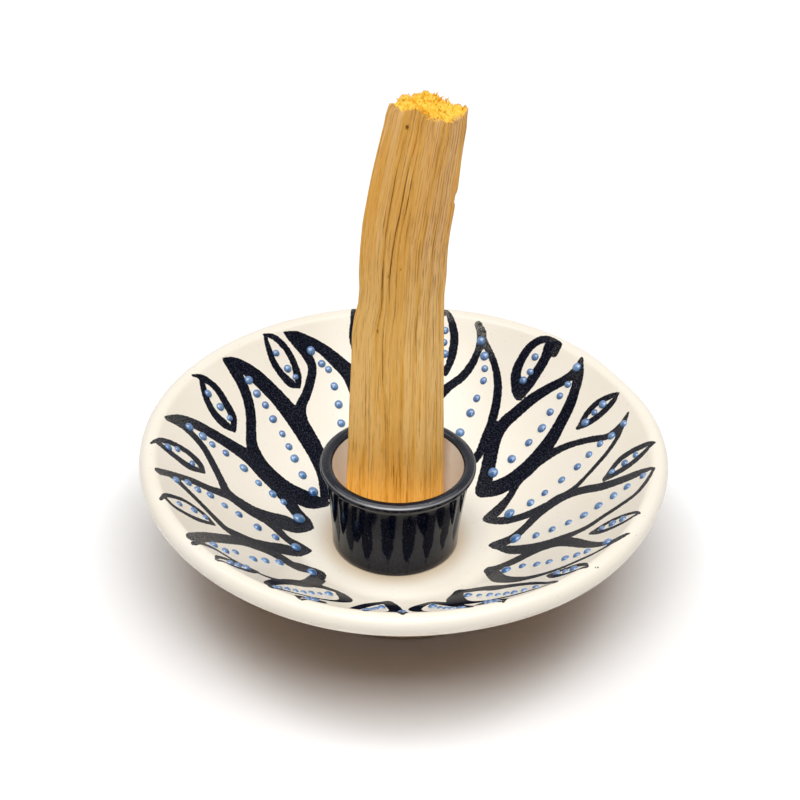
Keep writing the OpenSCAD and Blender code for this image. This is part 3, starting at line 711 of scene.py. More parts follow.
def setByHand(piece, look):
    # a slight lean and wave of the rim, then the cup's own place in the dish
    points = getPoints(piece)
    turn = np.arctan2(points[:, 1], points[:, 0])
    out = np.hypot(points[:, 0], points[:, 1])
    share = np.clip((points[:, 2] - dishLook["floorHeight"]) / look["height"], 0, 1)
    grow = 1 + look["wave"] * waves(turn, look["waves"]) * share / np.maximum(out, 2)
    lean = math.tan(math.radians(look["tilt"]))
    points[:, 2] -= lean * points[:, 0] * share
    points[:, 0] = points[:, 0] * grow + cupMiddle + lean * look["height"] * share
    points[:, 1] = points[:, 1] * grow
    setPoints(piece, points)


def rimHighlight(points, look, edge):
    # painted highlight on thinner glaze along the outer edge of the rim, strongest in front
    away = np.hypot(np.hypot(points[:, 0], points[:, 1]) - edge[0], points[:, 2] - edge[1])
    turn = np.degrees(np.angle(1j * (points[:, 0] + 1j * points[:, 1])))
    front = np.exp(-(turn / look["highlightSpread"]) ** 2)
    return np.exp(-(away / look["edgeWidth"]) ** 2) * (look["highlightBehind"] + (1 - look["highlightBehind"]) * front)


clayLine, coatLine, cupEdge = cupLines(cupLook)
cupBody = drawOutline("cupBody", clayLine)
turnOnWheel(cupLook["around"])
setByHand(cupBody, cupLook)
finishPiece(cupBody, "holder", "cream_glaze", "cup")
cupCoat = drawOutline("cupCoat", coatLine)
turnOnWheel(cupLook["around"])
# paints the rim highlight into the coat
paintValue(cupCoat, "rimHighlightMask", rimHighlight(getPoints(cupCoat), cupLook, cupEdge))
setByHand(cupCoat, cupLook)
finishPiece(cupCoat, "holder", "black_glaze", "cup_glaze")
print("cup turned")


# stick: a split section carried up the length, with long grain, a pared foot and a torn top

stickLook = {
    "length": 100.0,
    "lowWidth": 19.8,
    "taper": 5.4,
    "evenTaper": 0.6,
    "depth": 10.4,
    "bend": 5.0,
    "evenBend": 0.14,
    "set": -0.4,
    "paredPart": 0.1,
    "paredDepth": 0.5,
    "faces": [(-113.8, 0.42), (-36.5, 0.86), (59.1, 0.5), (130.2, 0.67)],
    "sharpness": 16.0,
    "reach": 0.985,
    "depthSpan": 1.38,
    "leftTrim": [(0, 0.2), (0.2, 0.3), (0.4, 0.2), (0.47, 0), (0.505, 0.2), (0.54, 0.75), (0.575, 0.75),
                 (0.61, 0.4), (0.66, 0.15), (0.72, 0), (0.81, 0.2), (0.87, 0.4), (0.94, 0.6), (1, 0.3)],
    "rightTrim": [(0, -0.2), (0.2, -0.2), (0.33, -0.4), (0.5, -0.6), (0.57, -0.75), (0.61, -0.55),
                  (0.68, -0.5), (0.72, -0.3), (0.75, 0), (0.81, 0.35), (0.9, 0.5), (0.94, 0.6), (1, 0.2)],
    "chipLow": 0.776,
    "chipHigh": 0.802,
    "chipDepth": 0.3,
    # half the width, then share of the length and of the width from the left, down each crack of the front
    "cracks": [
        (0.13, [(0.87, 0.266), (0.76, 0.270), (0.684, 0.273), (0.604, 0.267), (0.476, 0.265)]),
        (0.12, [(0.966, 0.397), (0.92, 0.415), (0.86, 0.395), (0.763, 0.39), (0.684, 0.366), (0.6, 0.344),
                (0.53, 0.362)]),
        (0.07, [(0.90, 0.46), (0.83, 0.455), (0.72, 0.44), (0.64, 0.425)]),
        (0.08, [(0.79, 0.508), (0.67, 0.498)]),
        (0.07, [(0.78, 0.82), (0.66, 0.815)]),
        (0.06, [(0.94, 0.70), (0.80, 0.69), (0.70, 0.68)]),
        (0.07, [(0.47, 0.335), (0.376, 0.345), (0.276, 0.385), (0.16, 0.405)]),
        (0.09, [(0.32, 0.545), (0.272, 0.545), (0.173, 0.548), (0.1, 0.562)]),
        (0.07, [(0.22, 0.47), (0.1, 0.50)]),
    ],
    "backCracks": 14,
    "backTops": (0.35, 1.0),
    "backPlaces": (0.06, 0.94),
    "backLengths": (0.15, 0.5),
    "backWidths": (0.06, 0.14),
    "backWander": 0.012,
    "backSeed": 8,
    "grainHalf": 9.0,  # half the width that grain and cracks are laid out on
    "crackDepth": 0.18,
    "crackSlope": 0.2,
    "crackLead": 0.6,
    "crackTaper": 5.0,
    "holeStretch": 0.8,
    "noCrack": -4.0,
    "knotHoles": [(0.946, 0.275, 0.42), (0.64, 0.474, 0.22), (0.62, 0.335, 0.25), (0.49, 0.262, 0.3)],
    "around": 240,
    "rings": 170,
    "capRings": 9,
    "capHole": 0.1,
    "footShare": 0.96,  # the foot's edge is pared to this share, up to this part of the first ring
    "footRing": 0.4,
    "tear": 2.2,
    "tearDrop": 0.8,
    "tearLimit": 1.4,
    "tearMiddle": 3.5,
    "tearLean": (0.04, 0.025),
    "tearFrom": 0.96,
    "tearPart": 0.04,
    "tornShare": 0.985,
    "grain": 0.15,
    "ridgeCounts": (17, 46, 96),
    "broadRidges": 0.9,
    "midRidges": 0.7,
    "fineRidges": 0.45,
    "splits": 1.1,
    "sway": (0.006, 0.004),
    "grainSeed": 23,
    "fibres": 260,
    "fibreSeed": 41,
    "fibreHeights": (0.5, 1.3),
    "fibreWidths": (0.35, 0.9),
    "fibreDepths": (0.25, 0.5),
    "fibreTilt": 0.9,
    "fibreSunk": 0.35,
    "fibreTip": 0.08,
}

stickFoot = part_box("palo_santo_stick")[0].z / mm


def smoothNoise(rng, size):
    # repeating 1-D noise, read at any place
    table = rng.uniform(-1, 1, size)

    def read(at):
        at = np.mod(at, 1.0) * size
        i = np.floor(at).astype(int)
        f = at - i
        f = f * f * (3 - 2 * f)
        return table[i % size] * (1 - f) + table[(i + 1) % size] * f
    return read


grainRng = np.random.RandomState(stickLook["grainSeed"])
broadGrain, midGrain, fineGrain = (smoothNoise(grainRng, n) for n in stickLook["ridgeCounts"])
lengthNoise, swayNoise = smoothNoise(grainRng, 9), smoothNoise(grainRng, 13)
tearNoise, tearFine = smoothNoise(grainRng, 29), smoothNoise(grainRng, 83)


def curve(pairs, u):
    places, values = zip(*pairs)
    return np.interp(u, places, values)


def stickShape(turn, share, u, look):
    # direction, share of the radius and share of the length to mm, with the place along the grain
    total = np.zeros_like(turn)
    for face, away in look["faces"]:
        total += np.maximum(np.cos(turn - math.radians(face)) / away, 0) ** look["sharpness"]
    radius = total ** (-1 / look["sharpness"])
    around = turn / math.tau
    sway = look["sway"][0] * swayNoise(u * 0.9 + 0.1) + look["sway"][1] * lengthNoise(u * 1.7)
    # ridges of three sizes along the grain, then splits between them
    grain = (look["broadRidges"] * broadGrain(around + sway) * lengthNoise(u * 0.8 + around)
             + look["midRidges"] * midGrain(around + sway + 0.002 * swayNoise(u * 3 + around))
             + look["fineRidges"] * fineGrain(around + sway) * (0.6 + 0.4 * lengthNoise(u * 2.3 + around * 3)))
    split = np.clip(np.abs(midGrain(around + sway + 0.37)) * 9, 0, 1) - 1
    grain = grain + look["splits"] * split * np.clip(2.2 * lengthNoise(u * 1.1 + around * 2), 0, 1)
    taper = look["taper"] * (look["evenTaper"] * u + (1 - look["evenTaper"]) * u ** 3)
    pared = look["paredDepth"] * np.maximum(1 - u / look["paredPart"], 0) ** 2
    half = (look["lowWidth"] - taper) / 2 - pared
    drift = look["set"] + look["bend"] * (look["evenBend"] * u + (1 - look["evenBend"]) * u ** 4)
    x = half / look["reach"] * radius * np.cos(turn)
    y = look["depth"] / look["depthSpan"] * radius * np.sin(turn)
    away = np.maximum(np.hypot(x, y), 0.1)
    ramp = np.clip((look["chipHigh"] - u) / (look["chipHigh"] - look["chipLow"]), 0, 1)
    chip = look["chipDepth"] * np.clip(3 * ramp, 0, 1) * (ramp < 1) * np.clip(np.cos(turn), 0, 1) ** 40
    grow = share * (1 + (look["grain"] * grain - chip) / away)
    across = np.clip(x * share / half, -1, 1)
    trim = curve(look["leftTrim"], u) * (1 - across) / 2 + curve(look["rightTrim"], u) * (1 + across) / 2
    along = np.column_stack([x * grow / half * look["grainHalf"], y * grow, u * look["length"]])
    return x * grow + drift + trim, y * grow, along


def backCracks(look):
    rng = np.random.RandomState(look["backSeed"])
    wander = look["backWander"]
    cracks = []
    for k in range(look["backCracks"]):
        top, place = rng.uniform(*look["backTops"]), rng.uniform(*look["backPlaces"])
        low = max(top - rng.uniform(*look["backLengths"]), 0.02)
        half = rng.uniform(*look["backWidths"])
        cracks.append((half, [(u, place + rng.uniform(-wander, wander)) for u in np.linspace(top, low, 5)]))
    return cracks


def crackPlaces(along, look):
    # how far inside a crack or a knot hole each point is, in mm
    across, u = along[:, 0], along[:, 2] / look["length"]
    front = along[:, 1] < 0
    inside = np.full(len(along), look["noCrack"])

    def place(share):
        return (share * 2 - 1) * look["grainHalf"]

    for side, cracks in ((front, look["cracks"]), (~front, backCracks(look))):
        for half, knots in cracks:
            at, share = np.array(sorted(knots)).T
            ends = np.minimum(u - at[0], at[-1] - u) * look["length"]
            width = half * np.clip(ends / look["crackTaper"], -4, 1)
            deep = width - np.abs(across - place(np.interp(u, at, share)))
            inside = np.where(side, np.maximum(inside, deep), inside)
    for at, share, half in look["knotHoles"]:
        deep = half - np.hypot(across - place(share), look["holeStretch"] * (u - at) * look["length"])
        inside = np.where(front, np.maximum(inside, deep), inside)
    return inside


def tornTop(x, y, look):
    # depth of the tear below the tallest fibre
    lean = look["tearLean"][0] * (x - look["tearMiddle"]) - look["tearLean"][1] * y
    rough = 0.55 * tearNoise(x * 0.031 + y * 0.017) + 0.45 * tearFine(x * 0.037 - y * 0.021)
    deep = np.clip(look["tear"] * (0.5 - 0.5 * rough) + lean, 0, look["tear"] * look["tearLimit"])
    return deep + look["tearDrop"]


def modelStick(look):
    freshStart()
    foot = look["footShare"]
    bpy.ops.mesh.primitive_circle_add(vertices=look["around"], radius=foot * mm, fill_type="NGON")
    piece = bpy.context.object
    piece.name = piece.data.name = "splitStick"
    bpy.ops.object.mode_set(mode="EDIT")
    bpy.ops.mesh.select_all(action="SELECT")
    rise = mm / look["rings"]
    # pared foot, then even rings, then rings that close in over the end
    bpy.ops.mesh.extrude_region_move(TRANSFORM_OT_translate={"value": (0, 0, look["footRing"] * rise)})
    bpy.ops.transform.resize(value=(1 / foot, 1 / foot, 1))
    bpy.ops.mesh.extrude_region_move(TRANSFORM_OT_translate={"value": (0, 0, (1 - look["footRing"]) * rise)})
    for k in range(look["rings"] - 1):
        bpy.ops.mesh.extrude_region_move(TRANSFORM_OT_translate={"value": (0, 0, rise)})
    for k in range(look["capRings"]):
        bpy.ops.mesh.extrude_region_move(TRANSFORM_OT_translate={"value": (0, 0, 0)})
        left = look["capRings"] - k + look["capHole"]
        shrink = (left - 1) / left
        bpy.ops.transform.resize(value=(shrink, shrink, 1))
    bpy.ops.mesh.normals_make_consistent(inside=False)
    bpy.ops.object.mode_set(mode="OBJECT")
    bpy.ops.object.shade_smooth_by_angle(angle=math.radians(55))
    unit = getPoints(piece)
    turn = np.arctan2(unit[:, 1], unit[:, 0])
    share = np.minimum(np.hypot(unit[:, 0], unit[:, 1]), 1)
    u = np.clip(unit[:, 2], 0, 1)
    x, y, along = stickShape(turn, share, u, look)
    nearTop = np.clip((u - look["tearFrom"]) / look["tearPart"], 0, 1)
    z = u * (look["length"] - tornTop(x, y, look) * nearTop)
    crack = crackPlaces(along, look)
    opened = np.clip(crack / look["crackSlope"] + look["crackLead"], 0, 1)
    y = y - np.sign(y) * look["crackDepth"] * opened * (share > 0.99)
    setPoints(piece, np.column_stack([x + cupMiddle, y, z + stickFoot]))
    layer = piece.data.attributes.new("grainPlace", "FLOAT_VECTOR", "POINT")
    layer.data.foreach_set("vector", (along * mm).ravel().astype(np.float32))
    paintValue(piece, "torn", np.where((u > 0.9999) & (share < look["tornShare"]), 1.0, 0.0))
    paintValue(piece, "crack", crack)
    return piece


def addFibres(look):
    # torn fibres standing out of the end
    rng = np.random.RandomState(look["fibreSeed"])
    tilt = look["fibreTilt"]
    freshStart()
    bpy.ops.mesh.primitive_cone_add(vertices=5, radius1=0.5 * mm, radius2=look["fibreTip"] * mm, depth=mm,
                                    location=(0, 0, 0.5 * mm))
    sliver = bpy.context.object
    bpy.ops.object.transform_apply(location=True)
    copies = []
    for k in range(look["fibres"]):
        turn, share = rng.uniform(0, math.tau), math.sqrt(rng.uniform(0.05, 0.96))
        x, y = stickShape(np.array([turn]), np.array([share]), np.array([1.0]), look)[:2]
        low = look["length"] - tornTop(x, y, look)[0] - look["fibreSunk"]
        copy = sliver.copy()
        copy.data = sliver.data.copy()
        bpy.context.collection.objects.link(copy)
        tall = min(rng.uniform(*look["fibreHeights"]), look["length"] - look["tearDrop"] - low)
        copy.scale = (rng.uniform(*look["fibreWidths"]), rng.uniform(*look["fibreDepths"]), tall)
        copy.rotation_euler = Euler((rng.uniform(-tilt, tilt), rng.uniform(-tilt, tilt), turn), "XYZ")
        copy.location = Vector((x[0] + cupMiddle, y[0], low + stickFoot)) * mm
        copies.append(copy)
    bpy.data.objects.remove(sliver)
    piece = joinCopies("tornFibres", copies, "stick", "split_wood")
    paintValue(piece, "torn", np.ones(len(piece.data.vertices)))
    paintValue(piece, "crack", np.full(len(piece.data.vertices), look["noCrack"]))
    return piece


stick = modelStick(stickLook)
finishPiece(stick, "stick", "split_wood", "palo_santo_stick")
fibres = addFibres(stickLook)
print("stick split:", len(stick.data.polygons), "faces")


# materials

def newMaterial(name):
    material = bpy.data.materials.new(name)
    material.use_nodes = True
    return material, material.node_tree, material.node_tree.nodes["Principled BSDF"]


def feed(tree, socket, value):
    # joins another node's output, or sets a plain value
    if isinstance(value, bpy.types.NodeSocket):
        tree.links.new(value, socket)
    else:
        socket.default_value = value


def addNode(tree, kind, inputs=None, **settings):
    node = tree.nodes.new(kind)
    for key, value in settings.items():
        setattr(node, key, value)
    for key, value in (inputs or {}).items():
        feed(tree, node.inputs[key], value)
    return node


def objectPlace(tree):
    return addNode(tree, "ShaderNodeTexCoord").outputs["Object"]


def splitAxes(tree, place):
    return addNode(tree, "ShaderNodeSeparateXYZ", {"Vector": place}).outputs


def drawnOut(tree, place, share):
    # draws a pattern out along Z
    return addNode(tree, "ShaderNodeMapping", {"Vector": place, "Scale": (1, 1, share)}).outputs["Vector"]


def paintedValue(tree, name):
    return addNode(tree, "ShaderNodeAttribute", attribute_name=name).outputs["Fac"]


def mixColour(tree, share, first, second):
    node = addNode(tree, "ShaderNodeMix", data_type="RGBA")
    for socket, value in ((0, share), (6, first), (7, second)):  # the colour sockets of a Mix node
        feed(tree, node.inputs[socket], value)
    return node.outputs[2]


def maths(tree, how, first, second=0.0, clamp=False):
    node = addNode(tree, "ShaderNodeMath", operation=how, use_clamp=clamp)
    for socket, value in zip(node.inputs, (first, second)):
        feed(tree, socket, value)
    return node.outputs[0]


def spread(tree, value, low, high, newLow=0.0, newHigh=1.0):
    node = addNode(tree, "ShaderNodeMapRange", {"Value": value, "From Min": low, "From Max": high,
                                                "To Min": newLow, "To Max": newHigh},
                   interpolation_type="SMOOTHSTEP")
    return node.outputs["Result"]


def between(tree, value, ends, newLow=0.0, newHigh=1.0):
    # the same over a stretch given in mm
    return spread(tree, value, ends[0] * mm, ends[1] * mm, newLow, newHigh)


def noise(tree, place, size, detail=2.0, rough=0.5):
    # size is the width of a blot in mm
    node = addNode(tree, "ShaderNodeTexNoise", {"Vector": place, "Scale": 1 / (size * mm),
                                                "Detail": detail, "Roughness": rough})
    return node.outputs["Fac"]


def makeGlazeGroup():
    # fired glaze: uneven tone, iron specks and a faint ripple
    group = bpy.data.node_groups.new("firedGlaze", "ShaderNodeTree")
    for name in ("Speck Size", "Speck Cut", "Ripple Size"):
        group.interface.new_socket(name, in_out="INPUT", socket_type="NodeSocketFloat")
    for name in ("Tone", "Specks", "Ripple"):
        group.interface.new_socket(name, in_out="OUTPUT", socket_type="NodeSocketFloat")
    into = group.nodes.new("NodeGroupInput")
    outOf = group.nodes.new("NodeGroupOutput")
    place = objectPlace(group)
    tone = addNode(group, "ShaderNodeTexNoise", {"Vector": place, "Scale": 90.0, "Detail": 3.0})
    specks = addNode(group, "ShaderNodeTexNoise", {"Vector": place, "Scale": into.outputs["Speck Size"],
                                                   "Detail": 1.0})
    over = maths(group, "SUBTRACT", specks.outputs["Fac"], into.outputs["Speck Cut"])
    mask = maths(group, "MULTIPLY", over, 14.0, True)
    ripple = addNode(group, "ShaderNodeTexNoise", {"Vector": place, "Scale": into.outputs["Ripple Size"],
                                                   "Detail": 1.0})
    group.links.new(tone.outputs["Fac"], outOf.inputs["Tone"])
    group.links.new(mask, outOf.inputs["Specks"])
    group.links.new(ripple.outputs["Fac"], outOf.inputs["Ripple"])
    return group


firedGlaze = makeGlazeGroup()


def useGlaze(tree, look):
    values = {"Speck Size": look["speckSize"], "Speck Cut": look["speckCut"], "Ripple Size": look["rippleSize"]}
    return addNode(tree, "ShaderNodeGroup", values, node_tree=firedGlaze).outputs


def bump(tree, shader, height, strength, depth):
    node = addNode(tree, "ShaderNodeBump", {"Height": height, "Strength": strength, "Distance": depth * mm})
    tree.links.new(node.outputs["Normal"], shader.inputs["Normal"])


glazeColours = {
    "cream": (0.90, 0.835, 0.725, 1),
    "creamWarm": (0.885, 0.80, 0.66, 1),
    # painted light: a paler cream for the cup's inside, which lies in shade
    "creamInsidePaintedLight": (1.0, 0.945, 0.85, 1),
    # painted shade, warm from the stick's bounce light, for the cup's inner wall
    "stickShade": (0.50, 0.31, 0.17, 1),
    "lipEdge": (0.62, 0.47, 0.37, 1),
    "tan": (0.42, 0.28, 0.18, 1),
    "speck": (0.45, 0.30, 0.16, 1),
    # painted contact shade round the foot of the cup
    "cupFootShade": (0.70, 0.50, 0.28, 1),
    "ink": (0.002, 0.0025, 0.006, 1),
    "inkWorn": (0.034, 0.038, 0.062, 1),
    "bareClay": (0.55, 0.40, 0.26, 1),
    "black": (0.001, 0.0018, 0.007, 1),
    "blackSpeck": (0.035, 0.042, 0.075, 1),
    # painted highlight on thinner glaze at the rim's outer edge
    "blackRimHighlight": (0.42, 0.42, 0.43, 1),
    "blue": (0.028, 0.115, 0.31, 1),
    "bluePale": (0.11, 0.245, 0.46, 1),
}


creamLook = {
    "speckSize": 1500.0,
    "speckCut": 0.72,
    "rippleSize": 110.0,
    "warm": 0.35,
    "warmInside": 0.2,
    "specks": 0.25,
    "roughness": 0.26,
    "gloss": 0.35,
    "inkRagged": 0.35,
    "inkSoft": 0.07,
    # painted shade round the foot of the cup: its width and share
    "cupFootShadeWidth": 4.0,
    "cupFootShade": 0.54,
    "bareRoughness": 0.85,
    "bareUpTo": (0.9, 1.3),
    # painted shade beside the stick inside the cup: its share, middle, reach and front edge
    "stickShade": 0.65,
    "stickShadeMiddle": 0.7,
    "stickShadeReach": (9.0, 11.0),
    "stickShadeFront": -5.0,
}


def paintedGlaze(name, painted, look):
    material, tree, shader = newMaterial(name)
    place = objectPlace(tree)
    axes = splitAxes(tree, place)
    glaze = useGlaze(tree, look)
    tone = spread(tree, glaze["Tone"], 0.35, 0.75)
    # the cup's inside takes the paler cream, painted light against its shade
    colour = mixColour(tree, maths(tree, "MULTIPLY", tone, look["warm" if painted else "warmInside"]),
                       glazeColours["cream" if painted else "creamInsidePaintedLight"], glazeColours["creamWarm"])
    specks = maths(tree, "MULTIPLY", glaze["Specks"], look["specks"])
    colour = mixColour(tree, specks, colour, glazeColours["speck"])
    if painted:
        depth, dry = paintedValue(tree, "inkDepth"), paintedValue(tree, "inkDry")
        ragged = maths(tree, "SUBTRACT", noise(tree, place, 0.55, 3.0), 0.5)
        strokeEdge = maths(tree, "ADD", depth, maths(tree, "MULTIPLY", ragged, look["inkRagged"]))
        covered = spread(tree, strokeEdge, -look["inkSoft"], look["inkSoft"])
        bristles = spread(tree, noise(tree, place, 0.3, 3.0, 0.7), 0.38, 0.62)
        covered = maths(tree, "MULTIPLY", covered,
                        maths(tree, "SUBTRACT", 1.0, maths(tree, "MULTIPLY", dry, bristles)))
        worn = spread(tree, noise(tree, place, 0.3, 3.0, 0.6), 0.46, 0.72)
        ink = mixColour(tree, worn, glazeColours["ink"], glazeColours["inkWorn"])
        colour = mixColour(tree, covered, colour, ink)
        # painted contact shade round the foot of the cup, warmed by the stick's bounce light
        besideCup = maths(tree, "SUBTRACT", axes["X"], cupMiddle * mm)
        fromCup = maths(tree, "SQRT", maths(tree, "ADD", maths(tree, "POWER", axes["Y"], 2.0),
                                            maths(tree, "POWER", besideCup, 2.0)))
        foot = cupLook["baseRadius"]
        cupFootShade = between(tree, fromCup, (foot, foot + look["cupFootShadeWidth"]), look["cupFootShade"], 0.0)
        colour = mixColour(tree, cupFootShade, colour, glazeColours["cupFootShade"])
        colour = mixColour(tree, paintedValue(tree, "underside"), colour, glazeColours["tan"])
        # a darker, warmer broken line along the outer edge of the lip
        breaks = spread(tree, noise(tree, place, 9.0, 3.0, 0.7), 0.4, 0.7)
        edgeLine = maths(tree, "MULTIPLY", paintedValue(tree, "lipEdge"), breaks)
        colour = mixColour(tree, edgeLine, colour, glazeColours["lipEdge"])
        # the foot stands bare of glaze
        bare = between(tree, axes["Z"], look["bareUpTo"], 1.0, 0.0)
        colour = mixColour(tree, bare, colour, glazeColours["bareClay"])
        rough = between(tree, axes["Z"], look["bareUpTo"], look["bareRoughness"], look["roughness"])
        tree.links.new(rough, shader.inputs["Roughness"])
        # ink shines less than the glaze, least where it faces the viewer or is seen edge on
        facing = addNode(tree, "ShaderNodeLayerWeight", {"Blend": 0.5}).outputs["Facing"]
        lost = maths(tree, "ADD", spread(tree, facing, 0.45, 0.9, 0.2, 0.35),
                     spread(tree, facing, 0.2, 0.5, 0.13, 0.0))
        gloss = maths(tree, "SUBTRACT", look["gloss"], maths(tree, "MULTIPLY", covered, lost))
        tree.links.new(gloss, shader.inputs["Specular IOR Level"])
    else:
        # painted shade on the inner wall beside and behind the stick, warmed by its bounce light
        side = maths(tree, "ABSOLUTE", maths(tree, "SUBTRACT", axes["X"], (cupMiddle + look["stickShadeMiddle"]) * mm))
        side = maths(tree, "ADD", side, maths(tree, "MULTIPLY", noise(tree, place, 3.0), 0.8 * mm))
        stickShade = maths(tree, "MULTIPLY", between(tree, side, look["stickShadeReach"], look["stickShade"], 0.0),
                      between(tree, axes["Y"], (look["stickShadeFront"], 0.0)))
        colour = mixColour(tree, stickShade, colour, glazeColours["stickShade"])
        shader.inputs["Roughness"].default_value = look["roughness"]
        shader.inputs["Specular IOR Level"].default_value = look["gloss"]
    tree.links.new(colour, shader.inputs["Base Color"])
    bump(tree, shader, glaze["Ripple"], 0.10, 0.4)
    return material


blackLook = {
    "speckSize": 3600.0,
    "speckCut": 0.60,
    "rippleSize": 160.0,
    "specks": 0.6,
    "roughness": (0.06, 0.13),
    "gloss": 0.29,
    "runs": 20.0,
    "runTurn": 1.27,
    "runWander": 2.0,
    "runEdges": 1.1,
    "runSoft": 0.25,
    "runEnds": (7, 12),
    "runTop": (22, 24),
    "runDepth": 0.26,
}


def blackGlaze(look):
    material, tree, shader = newMaterial("blackGlaze")
    glaze = useGlaze(tree, look)
    colour = mixColour(tree, maths(tree, "MULTIPLY", glaze["Specks"], look["specks"]),
                       glazeColours["black"], glazeColours["blackSpeck"])
    # painted highlight on thinner glaze along the rim's outer edge
    uneven = spread(tree, glaze["Tone"], 0.3, 0.6, 0.6, 1.0)
    edgeLine = maths(tree, "MULTIPLY", paintedValue(tree, "rimHighlightMask"), uneven)
    colour = mixColour(tree, edgeLine, colour, glazeColours["blackRimHighlight"])
    tree.links.new(colour, shader.inputs["Base Color"])
    tree.links.new(spread(tree, glaze["Tone"], 0.3, 0.7, *look["roughness"]), shader.inputs["Roughness"])
    # thick, deep runs down the wall that end in points, thin and greyer between and below them
    place = objectPlace(tree)
    drawn = drawnOut(tree, place, 0.06)
    axes = splitAxes(tree, place)
    turn = maths(tree, "ARCTAN2", maths(tree, "SUBTRACT", axes["X"], cupMiddle * mm),
                 maths(tree, "MULTIPLY", axes["Y"], -1.0))
    turn = maths(tree, "ADD", maths(tree, "MULTIPLY", turn, look["runs"]),
                 maths(tree, "MULTIPLY", noise(tree, drawn, 3.0), look["runWander"]))
    edges = maths(tree, "SUBTRACT", noise(tree, place, 0.9, 3.0, 0.6), 0.5)
    fingers = maths(tree, "ADD", maths(tree, "COSINE", maths(tree, "ADD", turn, look["runTurn"])),
                    maths(tree, "MULTIPLY", edges, look["runEdges"]))
    ragged = maths(tree, "MULTIPLY", noise(tree, drawn, 2.5, 1.0), 6 * mm)
    taper = between(tree, maths(tree, "SUBTRACT", axes["Z"], ragged), look["runEnds"], 1.1, -0.3)
    runs = spread(tree, maths(tree, "SUBTRACT", fingers, taper), -look["runSoft"], look["runSoft"])
    onWall = between(tree, axes["Z"], look["runTop"], 1.0, 0.0)
    deep = maths(tree, "MULTIPLY", maths(tree, "MULTIPLY", runs, onWall), look["runDepth"])
    tree.links.new(maths(tree, "SUBTRACT", look["gloss"], deep), shader.inputs["Specular IOR Level"])
    bump(tree, shader, glaze["Ripple"], 0.10, 0.3)
    return material


blueLook = {"Roughness": 0.3, "Coat Weight": 1.0, "Coat IOR": 1.6, "Coat Roughness": 0.12}


def blueSlip(look):
    material, tree, shader = newMaterial("blueSlip")
    place = objectPlace(tree)
    tone = spread(tree, noise(tree, place, 2.4, 2.0), 0.3, 0.75)
    colour = mixColour(tree, tone, glazeColours["blue"], glazeColours["bluePale"])
    tree.links.new(colour, shader.inputs["Base Color"])
    for key, value in look.items():
        shader.inputs[key].default_value = value
    bump(tree, shader, noise(tree, place, 0.5), 0.12, 0.1)
    return material


woodColours = {
    "pale": (0.96, 0.57, 0.205, 1),
    "gold": (0.90, 0.445, 0.08, 1),
    "dull": (0.84, 0.51, 0.23, 1),
    "bright": (1.0, 0.62, 0.205, 1),
    "amber": (1.0, 0.56, 0.10, 1),
    "orange": (0.84, 0.40, 0.035, 1),
    "line": (0.40, 0.16, 0.022, 1),
    "light": (1.0, 0.70, 0.30, 1),
    "crack": (0.22, 0.085, 0.014, 1),
    "fibre": (1.0, 0.68, 0.10, 1),
    "fibreDeep": (0.90, 0.47, 0.02, 1),
}


woodLook = {
    "longGrain": 0.035,
    "finerGrain": 0.016,
    "shortGrain": 0.12,
    "dull": (0.35, 0.85),  # from the left side to the right
    "paintedLightLow": 0.85,
    # painted light: paler, brighter wood low on the stick, fading out by 80 mm, against the shade there
    "paintedLightLowHeights": (45, 80),
    # amber low down: the wood's warm colour, brighter as painted light where the cup shades it
    "amber": 0.8,
    "amberHeights": (8, 30),
    "streaks": 0.8,
    "besideCracks": 0.6,
    "paleStreaks": 0.6,
    "ruled": (0.2, 0.7),  # from the left side to the right
    "ruledHeights": (35, 65),
    "ruledScale": 580.0,
    "ruledBend": 7.0,
    "lines": 0.85,
    "pores": 0.5,
    "frayed": 0.8,
    "roughness": 0.7,
    "gloss": 0.25,
}


